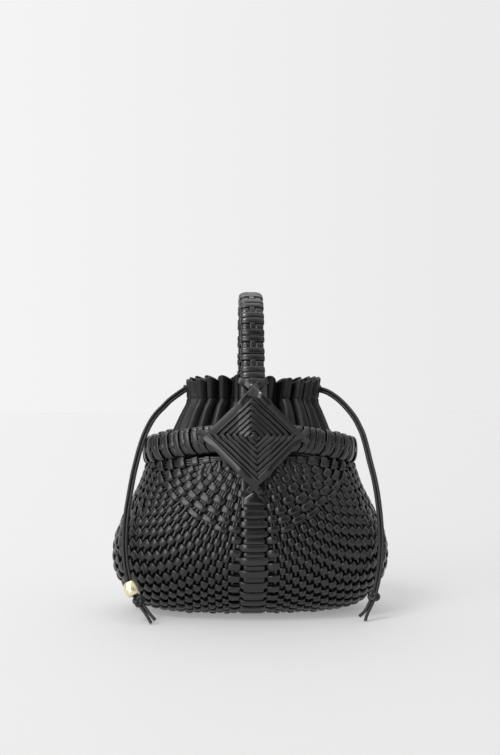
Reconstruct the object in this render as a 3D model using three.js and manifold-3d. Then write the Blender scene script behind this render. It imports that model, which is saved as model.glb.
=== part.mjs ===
// A basket bag of woven black leather: a hollow basket on two crossed hoops, with a gathered pouch
// and drawcords. Millimetres, +Z up, the front faces -Y, the origin is under the middle of the base.
import * as THREE from "three";
import { mergeVertices } from "three/addons/utils/BufferGeometryUtils.js";
import Module from "manifold-3d";

const wasm = await Module();
wasm.setup();

// The gap that touching pieces keep.
const CLEARANCE = 0.3;

// The basket: outside half-sizes at the belly, and the woven wall.
const BELLY_HALF_WIDTH = 136.5;
const BELLY_HALF_DEPTH = 84;
const BELLY_HEIGHT = 57;
const WALL_THICK = 5;
const WALL_COLUMNS = 32;
const BELLY_SQUARENESS = 2.3;
const NECK_SQUARENESS = 2;

// The rim hoop: its centre line is an oval that is higher at the front and rear than at the sides.
const RIM_HALF_WIDTH = 101.5;
const RIM_HALF_DEPTH = 68;
const RIM_SIDE_HEIGHT = 158;
const RIM_FRONT_RISE = 16;
const RIM_TALL = 27;
const RIM_THICK = 12;
const RIM_STATIONS = 56;

// The upright hoop: the handle above, the barred spine below.
const HANDLE_WIDTH = 23.4;
const HANDLE_THICK = 10;
const HANDLE_FOOT_THICK = 7;
const HANDLE_TOP = 315.5;
const ARCH_RADIUS = 50;
const LEG_LEAN = 0.22;
const LEG_POINTS = 24;
const ARCH_POINTS = 12;
const WRAP_PITCH = 6.2;
const WOVEN_WRAP_EVERY = 3;
const WOVEN_WRAP_RISE = 0.8;
const COLLAR_WIDTH = 26.4;
const COLLAR_TALL = 19;
const SPINE_WIDTH = 24.4;
const SPINE_NARROW_WIDTH = 20.5;
const SPINE_INSET = 2.8;
const SPINE_PROUD = 2;
const SPINE_NARROW_PROUD = 1.2;
const SPINE_PLAIN_TOP = 38;
const BAR_PITCH = 6.2;
const BAR_STEP = 0.5;
const BAR_EDGE = 1;

// The diamond lashings, wound in square rings.
const LASHING_HALF_WIDTH = 45;
const LASHING_HALF_TALL = 42.3;
const LASHING_THICK = 6;
const LASHING_LEAN = 1.5;
const LASHING_BACK_SIZES = [0.05, 0.3, 0.45, 0.7, 1];
const LASHING_FOLD = 0.9;
const LASHING_RINGS = 7;
const LASHING_GROOVE = 1.3;

// The pouch of smooth leather, sewn inside the rim and gathered at the mouth.
const POUCH_WALL = 1.6;
const POUCH_DROP = 10;
const MOUTH_HALF_WIDTH = 65.5;
const MOUTH_HALF_DEPTH = 36;
const MOUTH_HEIGHT = 228;
const MOUTH_SHIFT = 3;
const FOLDS = 26;
const POINTS_A_FOLD = 3;
const FOLD_DEPTH = 4.4;
const END_CALM = 0.8;

// The drawcords, the bead and the knots.
const CORD_THICK = 3;
const CORD_SPACING = 3.4;
const CORD_SIDES = 8;
const CORD_STEPS = 27;
const CORD_CLEARANCE = 0.3;
const BEAD_WIDE = 15;
const BEAD_LONG = 14;
const BEAD_BORE = 8;
const BEAD_SIDES = 12;
const KNOT_RING = 3.4;
const KNOT_STRAND = 2.5;
const KNOT_TILT = 0.45;

// The basket below its belly: height as a share of the belly's, width and depth as shares of its own.
const LOWER_WALL = [
  { height: 0, width: 0.645, depth: 0.357 },
  { height: 0.1, width: 0.775, depth: 0.535 },
  { height: 0.246, width: 0.857, depth: 0.69 },
  { height: 0.386, width: 0.908, depth: 0.786 },
  { height: 0.561, width: 0.96, depth: 0.887 },
  { height: 0.772, width: 0.993, depth: 0.964 },
  { height: 1, width: 1, depth: 1 },
];
// The basket above its belly: height as a share of the way to the rim, bulge beyond the neck as a share
// of the belly's.
const UPPER_WALL = [
  { height: 0.149, width: 0.954, depth: 1 },
  { height: 0.31, width: 0.83, depth: 0.926 },
  { height: 0.47, width: 0.615, depth: 0.778 },
  { height: 0.63, width: 0.4, depth: 0.593 },
  { height: 0.79, width: 0.185, depth: 0.37 },
  { height: 1, width: 0, depth: 0 },
];
// The pouch: rise as a share of the way from the rim's centre line to the mouth, how far it is gathered
// from the rim to the mouth, and the fold depth as a share of the deepest.
const POUCH_ROWS = [
  { rise: 0, width: 0, depth: 0, fold: 0 },
  { rise: 0.28, width: 0.44, depth: 0.3, fold: 0.4 },
  { rise: 0.45, width: 0.6, depth: 0.49, fold: 0.7 },
  { rise: 0.6, width: 0.83, depth: 0.73, fold: 0.9 },
  { rise: 0.68, width: 1, depth: 0.96, fold: 0.75 },
  { rise: 0.8, width: 0.97, depth: 0.93, fold: 0.95 },
  { rise: 1, width: 1.06, depth: 1.02, fold: 1 },
];
// The rim band's section: across as a share of half its thickness, up as a share of half its height.
const RIM_SECTION = [
  [1, 0.1], [0.8, 0.7], [0, 1], [-0.8, 0.7], [-1, 0.1],
  [-0.9, -0.6], [-0.5, -1], [0.5, -1], [0.9, -0.6],
];
// The middle line between the two strands of each drawcord, chosen by hand.
const LEFT_CORD_ROUTE = [
  [-65.1, 0, 218.4], [-72.4, -3, 213.5], [-80.2, -7, 207.6], [-86, -11, 201.7], [-91.8, -15, 195.9],
  [-96.4, -18, 190.1], [-99.8, -21, 184.3], [-102.6, -24, 178.5], [-105.3, -27, 172], [-109, -32, 160],
  [-112, -36, 148], [-114.9, -40, 135], [-117.6, -45, 119], [-120, -50, 103], [-121.4, -54, 88],
  [-121.6, -58, 70], [-120.2, -62, 54], [-117.8, -64.5, 42], [-114.4, -67, 31.5], [-107.6, -71, 20.6],
  [-101.5, -75, 12.5], [-94, -80, 3],
];
const RIGHT_CORD_ROUTE = [
  [69.9, 0, 218.4], [76.5, -2, 216], [83, -5, 212], [89.3, -8, 206.8], [94.8, -12, 200.8],
  [99.6, -15.5, 194.6], [103.4, -18.5, 188.6], [106.6, -22, 181.6], [109.4, -25.5, 174.4],
  [112.2, -30, 163], [114.8, -35, 149.5], [118.2, -40, 134], [120.8, -45, 117], [122.6, -50, 97],
  [123.3, -54, 76], [122, -57.5, 56], [119, -61, 38], [114.4, -65, 22.6], [108.6, -70, 11.6],
  [102.4, -75, 3.4],
];
const LEFT_BEAD_AT = 18;
const LEFT_KNOT_AT = 19;
const RIGHT_KNOT_AT = 17;

const BLACK_LEATHER = { color: 0x141414, roughness: 0.42, metalness: 0 };
const SMOOTH_LEATHER = { color: 0x181818, roughness: 0.36, metalness: 0 };
const PALE_GOLD = { color: 0xd9c48a, roughness: 0.3, metalness: 1 };

const bag = new THREE.Group();

function addPiece(name, geometry, finish) {
  const mesh = new THREE.Mesh(geometry, new THREE.MeshStandardMaterial(finish));
  mesh.name = name;
  bag.add(mesh);
}

function mix(from, to, share) {
  return from + (to - from) * share;
}

// A point of a rounded oval at an angle from the front, squareness 2 being an ellipse.
function ovalPoint(angle, halfWidth, halfDepth, squareness, height) {
  const power = 2 / squareness;
  const across = Math.sin(angle);
  const along = Math.cos(angle);
  return new THREE.Vector3(
    halfWidth * Math.sign(across) * Math.abs(across) ** power,
    -halfDepth * Math.sign(along) * Math.abs(along) ** power,
    height,
  );
}

function anglesRound(count) {
  return Array.from({ length: count }, (_, i) => (2 * Math.PI * i) / count);
}

// A closed surface over rows of points. Each row is a loop; the ends are filled, or joined to each other.
function skin(rows, joined = false) {
  const count = rows[0].length;
  const points = rows.flat();
  const faces = [];
  const spans = joined ? rows.length : rows.length - 1;
  for (let r = 0; r < spans; r++) {
    const here = r * count;
    const next = ((r + 1) % rows.length) * count;
    for (let c = 0; c < count; c++) {
      const d = (c + 1) % count;
      faces.push([here + c, here + d, next + d], [here + c, next + d, next + c]);
    }
  }
  if (!joined) {
    for (const [start, turned] of [[0, true], [(rows.length - 1) * count, false]]) {
      const middle = new THREE.Vector3();
      for (let c = 0; c < count; c++) middle.addScaledVector(points[start + c], 1 / count);
      points.push(middle);
      for (let c = 0; c < count; c++) {
        const pair = [start + c, start + ((c + 1) % count)];
        faces.push(turned ? [points.length - 1, pair[1], pair[0]] : [points.length - 1, ...pair]);
      }
    }
  }
  let volume = 0;
  for (const [a, b, c] of faces) {
    volume += points[a].dot(new THREE.Vector3().crossVectors(points[b], points[c]));
  }
  const index = faces.flatMap(([a, b, c]) => (volume < 0 ? [a, c, b] : [a, b, c]));
  const geometry = new THREE.BufferGeometry();
  geometry.setAttribute(
    "position",
    new THREE.Float32BufferAttribute(points.flatMap((p) => p.toArray()), 3),
  );
  geometry.setIndex(index);
  return geometry;
}

// The rows of an inner face, a wall's thickness inside rows of an outer face that run upwards.
function innerRows(rows, thick) {
  const count = rows[0].length;
  return rows.map((row, r) => {
    const below = rows[Math.max(r - 1, 0)];
    const above = rows[Math.min(r + 1, rows.length - 1)];
    return row.map((point, c) => {
      const round = row[(c + 1) % count].clone().sub(row[(c + count - 1) % count]);
      const up = above[c].clone().sub(below[c]);
      const outward = round.cross(up).normalize();
      return point.clone().addScaledVector(outward, -thick);
    });
  });
}

function toSolid(geometry) {
  const bare = geometry.clone();
  bare.deleteAttribute("normal");
  bare.deleteAttribute("uv");
  const merged = mergeVertices(bare, 1e-3);
  return new wasm.Manifold(
    new wasm.Mesh({
      numProp: 3,
      vertProperties: merged.attributes.position.array,
      triVerts: new Uint32Array(merged.index.array),
    }),
  );
}

function toGeometry(solid) {
  const mesh = solid.getMesh();
  const geometry = new THREE.BufferGeometry();
  geometry.setAttribute("position", new THREE.BufferAttribute(mesh.vertProperties, 3));
  geometry.setIndex(new THREE.BufferAttribute(mesh.triVerts, 1));
  return geometry;
}

// Points every so often along a line of points, each with its direction.
function walk(line, distances) {
  const found = [];
  let travelled = 0;
  let leg = 0;
  for (const distance of distances) {
    while (
      leg < line.length - 2 &&
      travelled + line[leg].distanceTo(line[leg + 1]) < distance
    ) {
      travelled += line[leg].distanceTo(line[leg + 1]);
      leg++;
    }
    const direction = line[leg + 1].clone().sub(line[leg]).normalize();
    const point = line[leg].clone().addScaledVector(direction, distance - travelled);
    found.push({ point, direction });
  }
  return found;
}

function lengthOf(line) {
  return line.slice(1).reduce((sum, point, i) => sum + point.distanceTo(line[i]), 0);
}

function rimHeight(angle) {
  return RIM_SIDE_HEIGHT + RIM_FRONT_RISE * Math.cos(angle) ** 2;
}

function wallTop(angle) {
  return rimHeight(angle) - RIM_TALL / 2 - CLEARANCE;
}

// The basket's outside, a row of points for each height, running up from the base.
function wallRows(angles) {
  const neckHalfWidth = RIM_HALF_WIDTH + WALL_THICK / 2;
  const neckHalfDepth = RIM_HALF_DEPTH + WALL_THICK / 2;
  const lower = LOWER_WALL.map((row) =>
    angles.map((angle) =>
      ovalPoint(
        angle,
        row.width * BELLY_HALF_WIDTH,
        row.depth * BELLY_HALF_DEPTH,
        BELLY_SQUARENESS,
        row.height * BELLY_HEIGHT,
      ),
    ),
  );
  const upper = UPPER_WALL.map((row) =>
    angles.map((angle) =>
      ovalPoint(
        angle,
        mix(neckHalfWidth, BELLY_HALF_WIDTH, row.width),
        mix(neckHalfDepth, BELLY_HALF_DEPTH, row.depth),
        mix(NECK_SQUARENESS, BELLY_SQUARENESS, row.width),
        mix(BELLY_HEIGHT, wallTop(angle), row.height),
      ),
    ),
  );
  return [...lower, ...upper];
}

// The line that the spine follows: down the front, under the base and up the rear, at the wall's face.
function spineLine() {
  const front = wallRows([0]).map((row) => new THREE.Vector3(0, row[0].y, row[0].z));
  const rear = front.map((point) => new THREE.Vector3(0, -point.y, point.z));
  return [...front.reverse(), ...rear];
}

// A cross-section of the spine: flat at the back, with its face proud of the wall.
function spineRow({ point, direction }, width, inset, proud) {
  const outward = new THREE.Vector3(0, direction.z, -direction.y);
  const half = width / 2;
  return [
    [-half, -inset],
    [half, -inset],
    [half, proud - BAR_EDGE],
    [half - BAR_EDGE, proud],
    [BAR_EDGE - half, proud],
    [-half, proud - BAR_EDGE],
  ].map(([across, out]) =>
    point.clone().addScaledVector(outward, out).add(new THREE.Vector3(across, 0, 0)),
  );
}

// How much of its pride the spine keeps: none on the flat base, all of it from a little way up.
function prideAt(height) {
  return Math.min(1, Math.max(0, height / SPINE_WIDTH));
}

// The places along the spine where its section changes: the two ends, and both sides of each bar's edge.
function spineStations() {
  const line = spineLine();
  const length = lengthOf(line);
  const barred = length - 2 * SPINE_PLAIN_TOP;
  const bars = 2 * Math.floor(barred / BAR_PITCH / 2) + 1;
  const distances = [0];
  for (let bar = 0; bar <= bars; bar++) {
    const end = SPINE_PLAIN_TOP + (bar * barred) / bars;
    distances.push(end - BAR_STEP / 2, end + BAR_STEP / 2);
  }
  distances.push(length);
  return walk(line, distances);
}

function spineBand() {
  const stations = spineStations();
  const rows = stations.map((station, i) => {
    const plain = i < 2 || i > stations.length - 3;
    const wide = plain || i % 4 > 1;
    const proud = (wide ? SPINE_PROUD : SPINE_NARROW_PROUD) * prideAt(station.point.z);
    return spineRow(station, wide ? SPINE_WIDTH : SPINE_NARROW_WIDTH, SPINE_INSET, proud);
  });
  return skin(rows);
}

// The room that the wall leaves for the spine.
function spineGroove() {
  const width = SPINE_WIDTH + 2 * CLEARANCE;
  const row = (station) => spineRow(station, width, SPINE_INSET + CLEARANCE, WALL_THICK);
  const rows = spineStations().map(row);
  const lift = (points) => points.map((point) => point.clone().setZ(point.z + RIM_TALL));
  return skin([lift(rows[0]), ...rows, lift(rows[rows.length - 1])]);
}

function basketWall() {
  const outer = wallRows(anglesRound(WALL_COLUMNS));
  const inner = innerRows(outer, WALL_THICK);
  inner[0].forEach((point) => (point.z = WALL_THICK));
  inner[inner.length - 1].forEach((point, c) => (point.z = outer[outer.length - 1][c].z));
  const shell = toSolid(skin([...outer, ...inner.reverse()]));
  return toGeometry(shell.subtract(toSolid(spineGroove())));
}

function rimBand() {
  const rows = anglesRound(RIM_STATIONS).map((angle) => {
    const outward = new THREE.Vector3(
      RIM_HALF_DEPTH * Math.sin(angle),
      -RIM_HALF_WIDTH * Math.cos(angle),
      0,
    ).normalize();
    const middle = ovalPoint(angle, RIM_HALF_WIDTH, RIM_HALF_DEPTH, 2, rimHeight(angle));
    return RIM_SECTION.map(([across, up]) =>
      middle
        .clone()
        .addScaledVector(outward, (across * RIM_THICK) / 2)
        .add(new THREE.Vector3(0, 0, (up * RIM_TALL) / 2)),
    );
  });
  return skin(rows, true);
}

// The handle's middle line: straight up in front of the rim, a slow bend inwards, and the arch.
function handleLine() {
  const footY = RIM_HALF_DEPTH + RIM_THICK / 2 + CLEARANCE + HANDLE_FOOT_THICK / 2;
  const rimFront = RIM_SIDE_HEIGHT + RIM_FRONT_RISE;
  const foot = spineLine()[0].z + CLEARANCE;
  const knee = rimFront + RIM_TALL / 4;
  const arch = ARCH_RADIUS - HANDLE_THICK / 2;
  const archHeight = HANDLE_TOP - ARCH_RADIUS;
  const archPoint = (turn) =>
    new THREE.Vector3(0, -arch * Math.cos(turn), archHeight + arch * Math.sin(turn));
  const join = archPoint(LEG_LEAN);
  const leg = new THREE.Vector3(0, -Math.sin(LEG_LEAN), -Math.cos(LEG_LEAN));
  const reach = (join.z - knee) / 2;
  const bend = new THREE.CubicBezierCurve3(
    new THREE.Vector3(0, -footY, knee),
    new THREE.Vector3(0, mix(-footY, -arch, 0.12), knee + reach / 2),
    join.clone().addScaledVector(leg, reach),
    join,
  );
  const front = [new THREE.Vector3(0, -footY, foot), ...bend.getPoints(LEG_POINTS)];
  for (let i = 1; i <= ARCH_POINTS; i++) {
    front.push(archPoint(mix(LEG_LEAN, Math.PI / 2, i / ARCH_POINTS)));
  }
  const rear = front.slice(0, -1).map((point) => new THREE.Vector3(0, -point.y, point.z));
  return [...front, ...rear.reverse()];
}

function handleRow({ point, direction }, woven) {
  const outward = new THREE.Vector3(0, -direction.z, direction.y);
  const rimTop = RIM_SIDE_HEIGHT + RIM_FRONT_RISE + RIM_TALL / 2;
  const collarFoot = RIM_SIDE_HEIGHT + RIM_FRONT_RISE + LASHING_HALF_TALL;
  const inCollar = point.z < collarFoot + COLLAR_TALL;
  const half = (inCollar ? COLLAR_WIDTH : HANDLE_WIDTH) / 2;
  const grown = Math.min(1, Math.max(0, (point.z - rimTop) / RIM_TALL));
  const thick = mix(HANDLE_FOOT_THICK, HANDLE_THICK, grown) / 2;
  const face = thick + (woven && !inCollar ? WOVEN_WRAP_RISE : 0);
  return [
    [half, -0.4 * thick],
    [half, 0.3 * thick],
    [0.6 * half, face],
    [-0.6 * half, face],
    [-half, 0.3 * thick],
    [-half, -0.4 * thick],
    [-0.7 * half, -thick],
    [0.7 * half, -thick],
  ].map(([across, out]) =>
    point.clone().addScaledVector(outward, out).add(new THREE.Vector3(across, 0, 0)),
  );
}

function handleBand() {
  const line = handleLine();
  const length = lengthOf(line);
  const wraps = 2 * Math.round(length / WRAP_PITCH / 2);
  const middle = wraps / 2;
  const distances = Array.from({ length: wraps + 1 }, (_, i) => (length * i) / wraps);
  const rows = walk(line, distances).map((station, i) =>
    handleRow(station, Math.abs(i - middle) % WOVEN_WRAP_EVERY === 1),
  );
  return skin(rows);
}

// A diamond lashing: square rings of strip, each with a ridge. It lies flat on the handle's foot and bends
// back from the foot's edges to the rim, and a little towards its top and bottom.
function lashing(side) {
  const back = RIM_HALF_DEPTH + RIM_THICK / 2 + HANDLE_FOOT_THICK + 2 * CLEARANCE;
  const height = RIM_SIDE_HEIGHT + RIM_FRONT_RISE;
  const flatHalf = COLLAR_WIDTH / 2 + CLEARANCE;
  const rimShare = LASHING_HALF_WIDTH / (RIM_HALF_WIDTH + RIM_THICK / 2);
  const rimFace = (RIM_HALF_DEPTH + RIM_THICK / 2) * Math.sqrt(1 - rimShare ** 2) + CLEARANCE;
  const place = (across, up, depth) => {
    const bent = Math.max(0, (Math.abs(across) - flatHalf) / (LASHING_HALF_WIDTH - flatHalf));
    const leant = LASHING_LEAN * (up / LASHING_HALF_TALL) ** 2;
    const y = mix(back, rimFace, bent) - leant + depth;
    return new THREE.Vector3(across, side * y, height + up);
  };
  const square = (size, depth) => {
    const wide = size * LASHING_HALF_WIDTH;
    const tall = size * LASHING_HALF_TALL;
    const fold = Math.min(flatHalf, LASHING_FOLD * wide);
    const foldUp = tall * (1 - fold / wide);
    return [
      [wide, 0], [fold, foldUp], [0, tall], [-fold, foldUp],
      [-wide, 0], [-fold, -foldUp], [0, -tall], [fold, -foldUp],
    ].map(([across, up]) => place(across, up, depth));
  };
  const rows = LASHING_BACK_SIZES.map((size) => square(size, 0));
  rows.push(square(1, LASHING_THICK / 2));
  for (let ring = 0; ring < LASHING_RINGS; ring++) {
    rows.push(square(1 - (ring + 0.25) / LASHING_RINGS, LASHING_THICK));
    rows.push(square(1 - (ring + 0.85) / LASHING_RINGS, LASHING_THICK - LASHING_GROOVE));
  }
  return skin(rows);
}

function pouch() {
  const rimInnerWidth = RIM_HALF_WIDTH - RIM_THICK / 2 - CLEARANCE;
  const rimInnerDepth = RIM_HALF_DEPTH - RIM_THICK / 2 - CLEARANCE;
  const angles = anglesRound(FOLDS * POINTS_A_FOLD);
  const row = ({ rise, width, depth, fold }, drop) =>
    angles.map((angle) => {
      const calm = 1 - END_CALM * Math.abs(Math.sin(angle)) ** 6;
      const ripple = fold * FOLD_DEPTH * calm * Math.cos(FOLDS * angle);
      const halfWidth = mix(rimInnerWidth, MOUTH_HALF_WIDTH, width) + ripple;
      const halfDepth = mix(rimInnerDepth, MOUTH_HALF_DEPTH, depth) + ripple;
      const height = mix(rimHeight(angle), MOUTH_HEIGHT, rise) - drop;
      const point = ovalPoint(angle, halfWidth, halfDepth, 2, height);
      point.x += MOUTH_SHIFT * rise;
      return point;
    });
  const outer = [row(POUCH_ROWS[0], POUCH_DROP), ...POUCH_ROWS.map((each) => row(each, 0))];
  const inner = innerRows(outer, POUCH_WALL);
  return skin([...outer, ...inner.reverse()], true);
}

function routeCurve(route, side) {
  const middle = new THREE.CatmullRomCurve3(route.map((p) => new THREE.Vector3(...p)));
  const depth = new THREE.Vector3(0, 1, 0);
  const points = route.map((_, i) => {
    const share = i / (route.length - 1);
    const aside = middle.getTangent(share).cross(depth).normalize();
    return middle.getPoint(share).addScaledVector(aside, (side * CORD_SPACING) / 2);
  });
  return new THREE.CatmullRomCurve3(points);
}

function cord(route, side, thick = CORD_THICK) {
  const section = new THREE.Shape();
  for (let i = 0; i < CORD_SIDES; i++) {
    const turn = (2 * Math.PI * i) / CORD_SIDES;
    const x = (thick / 2) * Math.cos(turn);
    const y = (thick / 2) * Math.sin(turn);
    if (i === 0) section.moveTo(x, y);
    else section.lineTo(x, y);
  }
  section.closePath();
  return new THREE.ExtrudeGeometry(section, {
    steps: CORD_STEPS,
    extrudePath: routeCurve(route, side),
    curveSegments: 1,
  });
}

// Where a bead or knot sits on a cord, and which way it faces.
function placeOn(geometry, route, at) {
  const curve = new THREE.CatmullRomCurve3(route.map((p) => new THREE.Vector3(...p)));
  const share = at / (route.length - 1);
  const turn = new THREE.Quaternion().setFromUnitVectors(
    new THREE.Vector3(0, 1, 0),
    curve.getTangent(share),
  );
  return geometry.applyQuaternion(turn).translate(...curve.getPoint(share).toArray());
}

function bead() {
  const outside = BEAD_WIDE / 2;
  const end = BEAD_LONG / 2;
  const bore = BEAD_BORE / 2;
  const profile = [
    [bore, -end], [0.72 * outside, -end], [0.95 * outside, -0.45 * end], [outside, 0],
    [0.88 * outside, 0.55 * end], [0.66 * outside, 0.92 * end], [bore, end], [bore, -end],
  ].map(([radius, along]) => new THREE.Vector2(radius, along));
  return placeOn(new THREE.LatheGeometry(profile, BEAD_SIDES), LEFT_CORD_ROUTE, LEFT_BEAD_AT);
}

// An overhand knot: two tilted turns of doubled cord, with the two strands running through them.
function knot(route, at) {
  const ring = () => new THREE.TorusGeometry(KNOT_RING, KNOT_STRAND, 5, 10).rotateX(Math.PI / 2);
  const upper = ring().rotateX(KNOT_TILT).translate(0, -KNOT_STRAND / 2, 0);
  const lower = ring().rotateZ(KNOT_TILT).translate(0, KNOT_STRAND / 2, 0);
  const core = new THREE.CylinderGeometry(KNOT_RING, KNOT_RING, 1.6 * KNOT_STRAND, 8);
  let solid = toSolid(placeOn(core, route, at));
  for (const turn of [upper, lower]) solid = solid.add(toSolid(placeOn(turn, route, at)));
  for (const side of [-1, 1]) {
    const fat = cord(route, side, CORD_THICK + 2 * CORD_CLEARANCE);
    solid = solid.subtract(toSolid(fat));
  }
  return toGeometry(solid);
}

addPiece("basket_wall", basketWall(), BLACK_LEATHER);
addPiece("rim_band", rimBand(), BLACK_LEATHER);
addPiece("spine_band", spineBand(), BLACK_LEATHER);
addPiece("handle", handleBand(), BLACK_LEATHER);
addPiece("front_lashing", lashing(-1), BLACK_LEATHER);
addPiece("rear_lashing", lashing(1), BLACK_LEATHER);
addPiece("pouch", pouch(), SMOOTH_LEATHER);
addPiece("cord_left_a", cord(LEFT_CORD_ROUTE, -1), SMOOTH_LEATHER);
addPiece("cord_left_b", cord(LEFT_CORD_ROUTE, 1), SMOOTH_LEATHER);
addPiece("cord_right_a", cord(RIGHT_CORD_ROUTE, -1), SMOOTH_LEATHER);
addPiece("cord_right_b", cord(RIGHT_CORD_ROUTE, 1), SMOOTH_LEATHER);
addPiece("bead", bead(), PALE_GOLD);
addPiece("knot_left", knot(LEFT_CORD_ROUTE, LEFT_KNOT_AT), SMOOTH_LEATHER);
addPiece("knot_right", knot(RIGHT_CORD_ROUTE, RIGHT_KNOT_AT), SMOOTH_LEATHER);

export default bag;
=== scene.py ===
import math

import bmesh
import bpy
import numpy as np
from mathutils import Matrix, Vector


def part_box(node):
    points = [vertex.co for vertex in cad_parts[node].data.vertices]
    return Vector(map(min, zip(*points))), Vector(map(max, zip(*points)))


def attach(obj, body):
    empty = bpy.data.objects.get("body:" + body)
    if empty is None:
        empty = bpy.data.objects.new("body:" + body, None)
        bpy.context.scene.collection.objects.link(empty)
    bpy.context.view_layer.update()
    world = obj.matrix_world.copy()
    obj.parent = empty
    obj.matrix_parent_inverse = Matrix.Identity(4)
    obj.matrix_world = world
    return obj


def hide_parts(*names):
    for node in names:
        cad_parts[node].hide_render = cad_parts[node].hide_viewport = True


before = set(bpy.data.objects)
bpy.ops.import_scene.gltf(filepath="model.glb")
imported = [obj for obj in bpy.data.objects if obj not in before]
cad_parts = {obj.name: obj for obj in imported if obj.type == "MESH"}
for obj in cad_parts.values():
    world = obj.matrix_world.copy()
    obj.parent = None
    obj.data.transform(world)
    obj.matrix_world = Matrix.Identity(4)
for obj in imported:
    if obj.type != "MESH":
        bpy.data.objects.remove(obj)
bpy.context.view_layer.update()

# The view and the studio. The camera stands level with the pouch's mouth, a little to the left of the
# middle, as in the photograph. The bag stands on a plain pale floor under soft lights.
VIEW_DISTANCE = 1.2
VIEW_HEIGHT = 0.228
VIEW_TURN = math.radians(-2.4)
LENS = 57.2
LENS_SHIFT = (-0.0006, 0.003)
FLOOR_HALF = 7.0
# The floor's colour from left to right: painted shade, lighter on the left and darker on the right.
FLOOR_LIT_LEFT = 0.4
FLOOR_SHADED_RIGHT = 0.35
FLOOR_ENDS = (-0.25, 0.25)
# The floor's even glow: a painted light that lifts the shadows cast on it.
FLOOR_GLOW = 0.268
# Each light: where it shines from, its strength, and how wide it is, in degrees, and so how soft.
LIGHTS = {
    "key_light": ((-0.75, -0.65, 1.4), 1.3, 16.0),
    "fill_light": ((0.9, -0.6, 0.7), 0.25, 60.0),
    "top_light": ((-0.1, 0.5, 1.0), 0.6, 60.0),
}
# The studio's pale paper as the camera sees it, from left to right, and what the bag reflects.
# The paper is painted lighter on the left than on the right: painted shade, for the light falling off away
# from the left.
PAPER_LEFT = 0.915
PAPER_RIGHT = 0.83
PAPER_ENDS = (-0.21, 0.21)
ROOM_FRONT = 0.04
ROOM_BEHIND = 0.75
ROOM_ENDS = (-0.9, 0.9)
CEILING_EXTRA = 0.75
CEILING_ENDS = (0.4, 1.0)
# A tall soft screen stands in front of the bag on its left, out of sight, and shines in the leather. Its
# edges: the axis that each lies along, and where it is dark and where it is at full strength.
SCREEN_LIGHT = 3.8
SCREEN_EDGES = [
    ("X", -0.16, -0.26), ("X", -0.92, -0.8), ("Y", -0.2, -0.35), ("Z", -0.02, 0.06), ("Z", 0.66, 0.44),
]

scene = bpy.context.scene
scene.view_settings.view_transform = "Standard"


def new_object(name, data):
    made = bpy.data.objects.new(name, data)
    scene.collection.objects.link(made)
    return made


camera = new_object("camera", bpy.data.cameras.new("camera"))
camera.data.lens = LENS
camera.data.sensor_width = 36.0
camera.data.shift_x = LENS_SHIFT[0]
camera.data.shift_y = LENS_SHIFT[1]
camera.location = (
    VIEW_DISTANCE * math.sin(VIEW_TURN),
    -VIEW_DISTANCE * math.cos(VIEW_TURN),
    VIEW_HEIGHT,
)
camera.rotation_euler = (math.pi / 2, 0.0, VIEW_TURN)
scene.camera = camera

for name, (place, strength, wide) in LIGHTS.items():
    light = new_object(name, bpy.data.lights.new(name, "SUN"))
    light.data.energy = strength
    light.data.angle = math.radians(wide)
    light.location = place
    light.rotation_euler = Vector(place).to_track_quat("Z", "Y").to_euler()


def set_inputs(node, inputs):
    """Sets inputs of a node to values, or links them to an output, the first one where a node is given."""
    for key, value in inputs.items():
        if isinstance(value, bpy.types.Node):
            value = value.outputs[0]
        if isinstance(value, bpy.types.NodeSocket):
            node.id_data.links.new(value, node.inputs[key])
        else:
            node.inputs[key].default_value = value
    return node


def add_node(tree, kind, inputs=None, **settings):
    node = tree.nodes.new(kind)
    for key, value in settings.items():
        setattr(node, key, value)
    return set_inputs(node, inputs or {})


def maths(tree, operation, *values):
    return add_node(tree, "ShaderNodeMath", dict(enumerate(values)), operation=operation).outputs[0]


def ramp(tree, value, given=(0.0, 1.0), wanted=(0.0, 1.0)):
    """Turns values from one pair of ends to the other, and holds them within it."""
    ends = {"From Min": given[0], "From Max": given[1], "To Min": wanted[0], "To Max": wanted[1]}
    return add_node(tree, "ShaderNodeMapRange", {"Value": value, **ends}).outputs[0]


def axes_of(tree, space):
    """The three coordinates of the point, or of the ray's way, in one of Blender's spaces."""
    place = add_node(tree, "ShaderNodeTexCoord").outputs[space]
    return add_node(tree, "ShaderNodeSeparateXYZ", {0: place}).outputs


def new_finish(name):
    finish = bpy.data.materials.new(name)
    finish.use_nodes = True
    return finish, finish.node_tree, finish.node_tree.nodes["Principled BSDF"]


world = bpy.data.worlds.new("studio")
world.use_nodes = True
scene.world = world
sky = world.node_tree
ray = axes_of(sky, "Generated")
# Painted shade on the paper seen by the camera: lighter on the left, darker on the right.
paper = ramp(sky, ray["X"], PAPER_ENDS, (PAPER_LEFT, PAPER_RIGHT))
walls = ramp(sky, ray["Y"], ROOM_ENDS, (ROOM_FRONT, ROOM_BEHIND))
ceiling = ramp(sky, ray["Z"], CEILING_ENDS, (0.0, CEILING_EXTRA))
screen = SCREEN_LIGHT
for axis, dark, bright in SCREEN_EDGES:
    screen = maths(sky, "MULTIPLY", screen, ramp(sky, ray[axis], (dark, bright)))
room = maths(sky, "ADD", maths(sky, "ADD", walls, ceiling), screen)
from_camera = add_node(sky, "ShaderNodeLightPath").outputs["Is Camera Ray"]
seen = add_node(sky, "ShaderNodeMix", {"Factor": from_camera, "A": room, "B": paper})
set_inputs(sky.nodes["Background"], {"Color": seen.outputs["Result"]})
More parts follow.
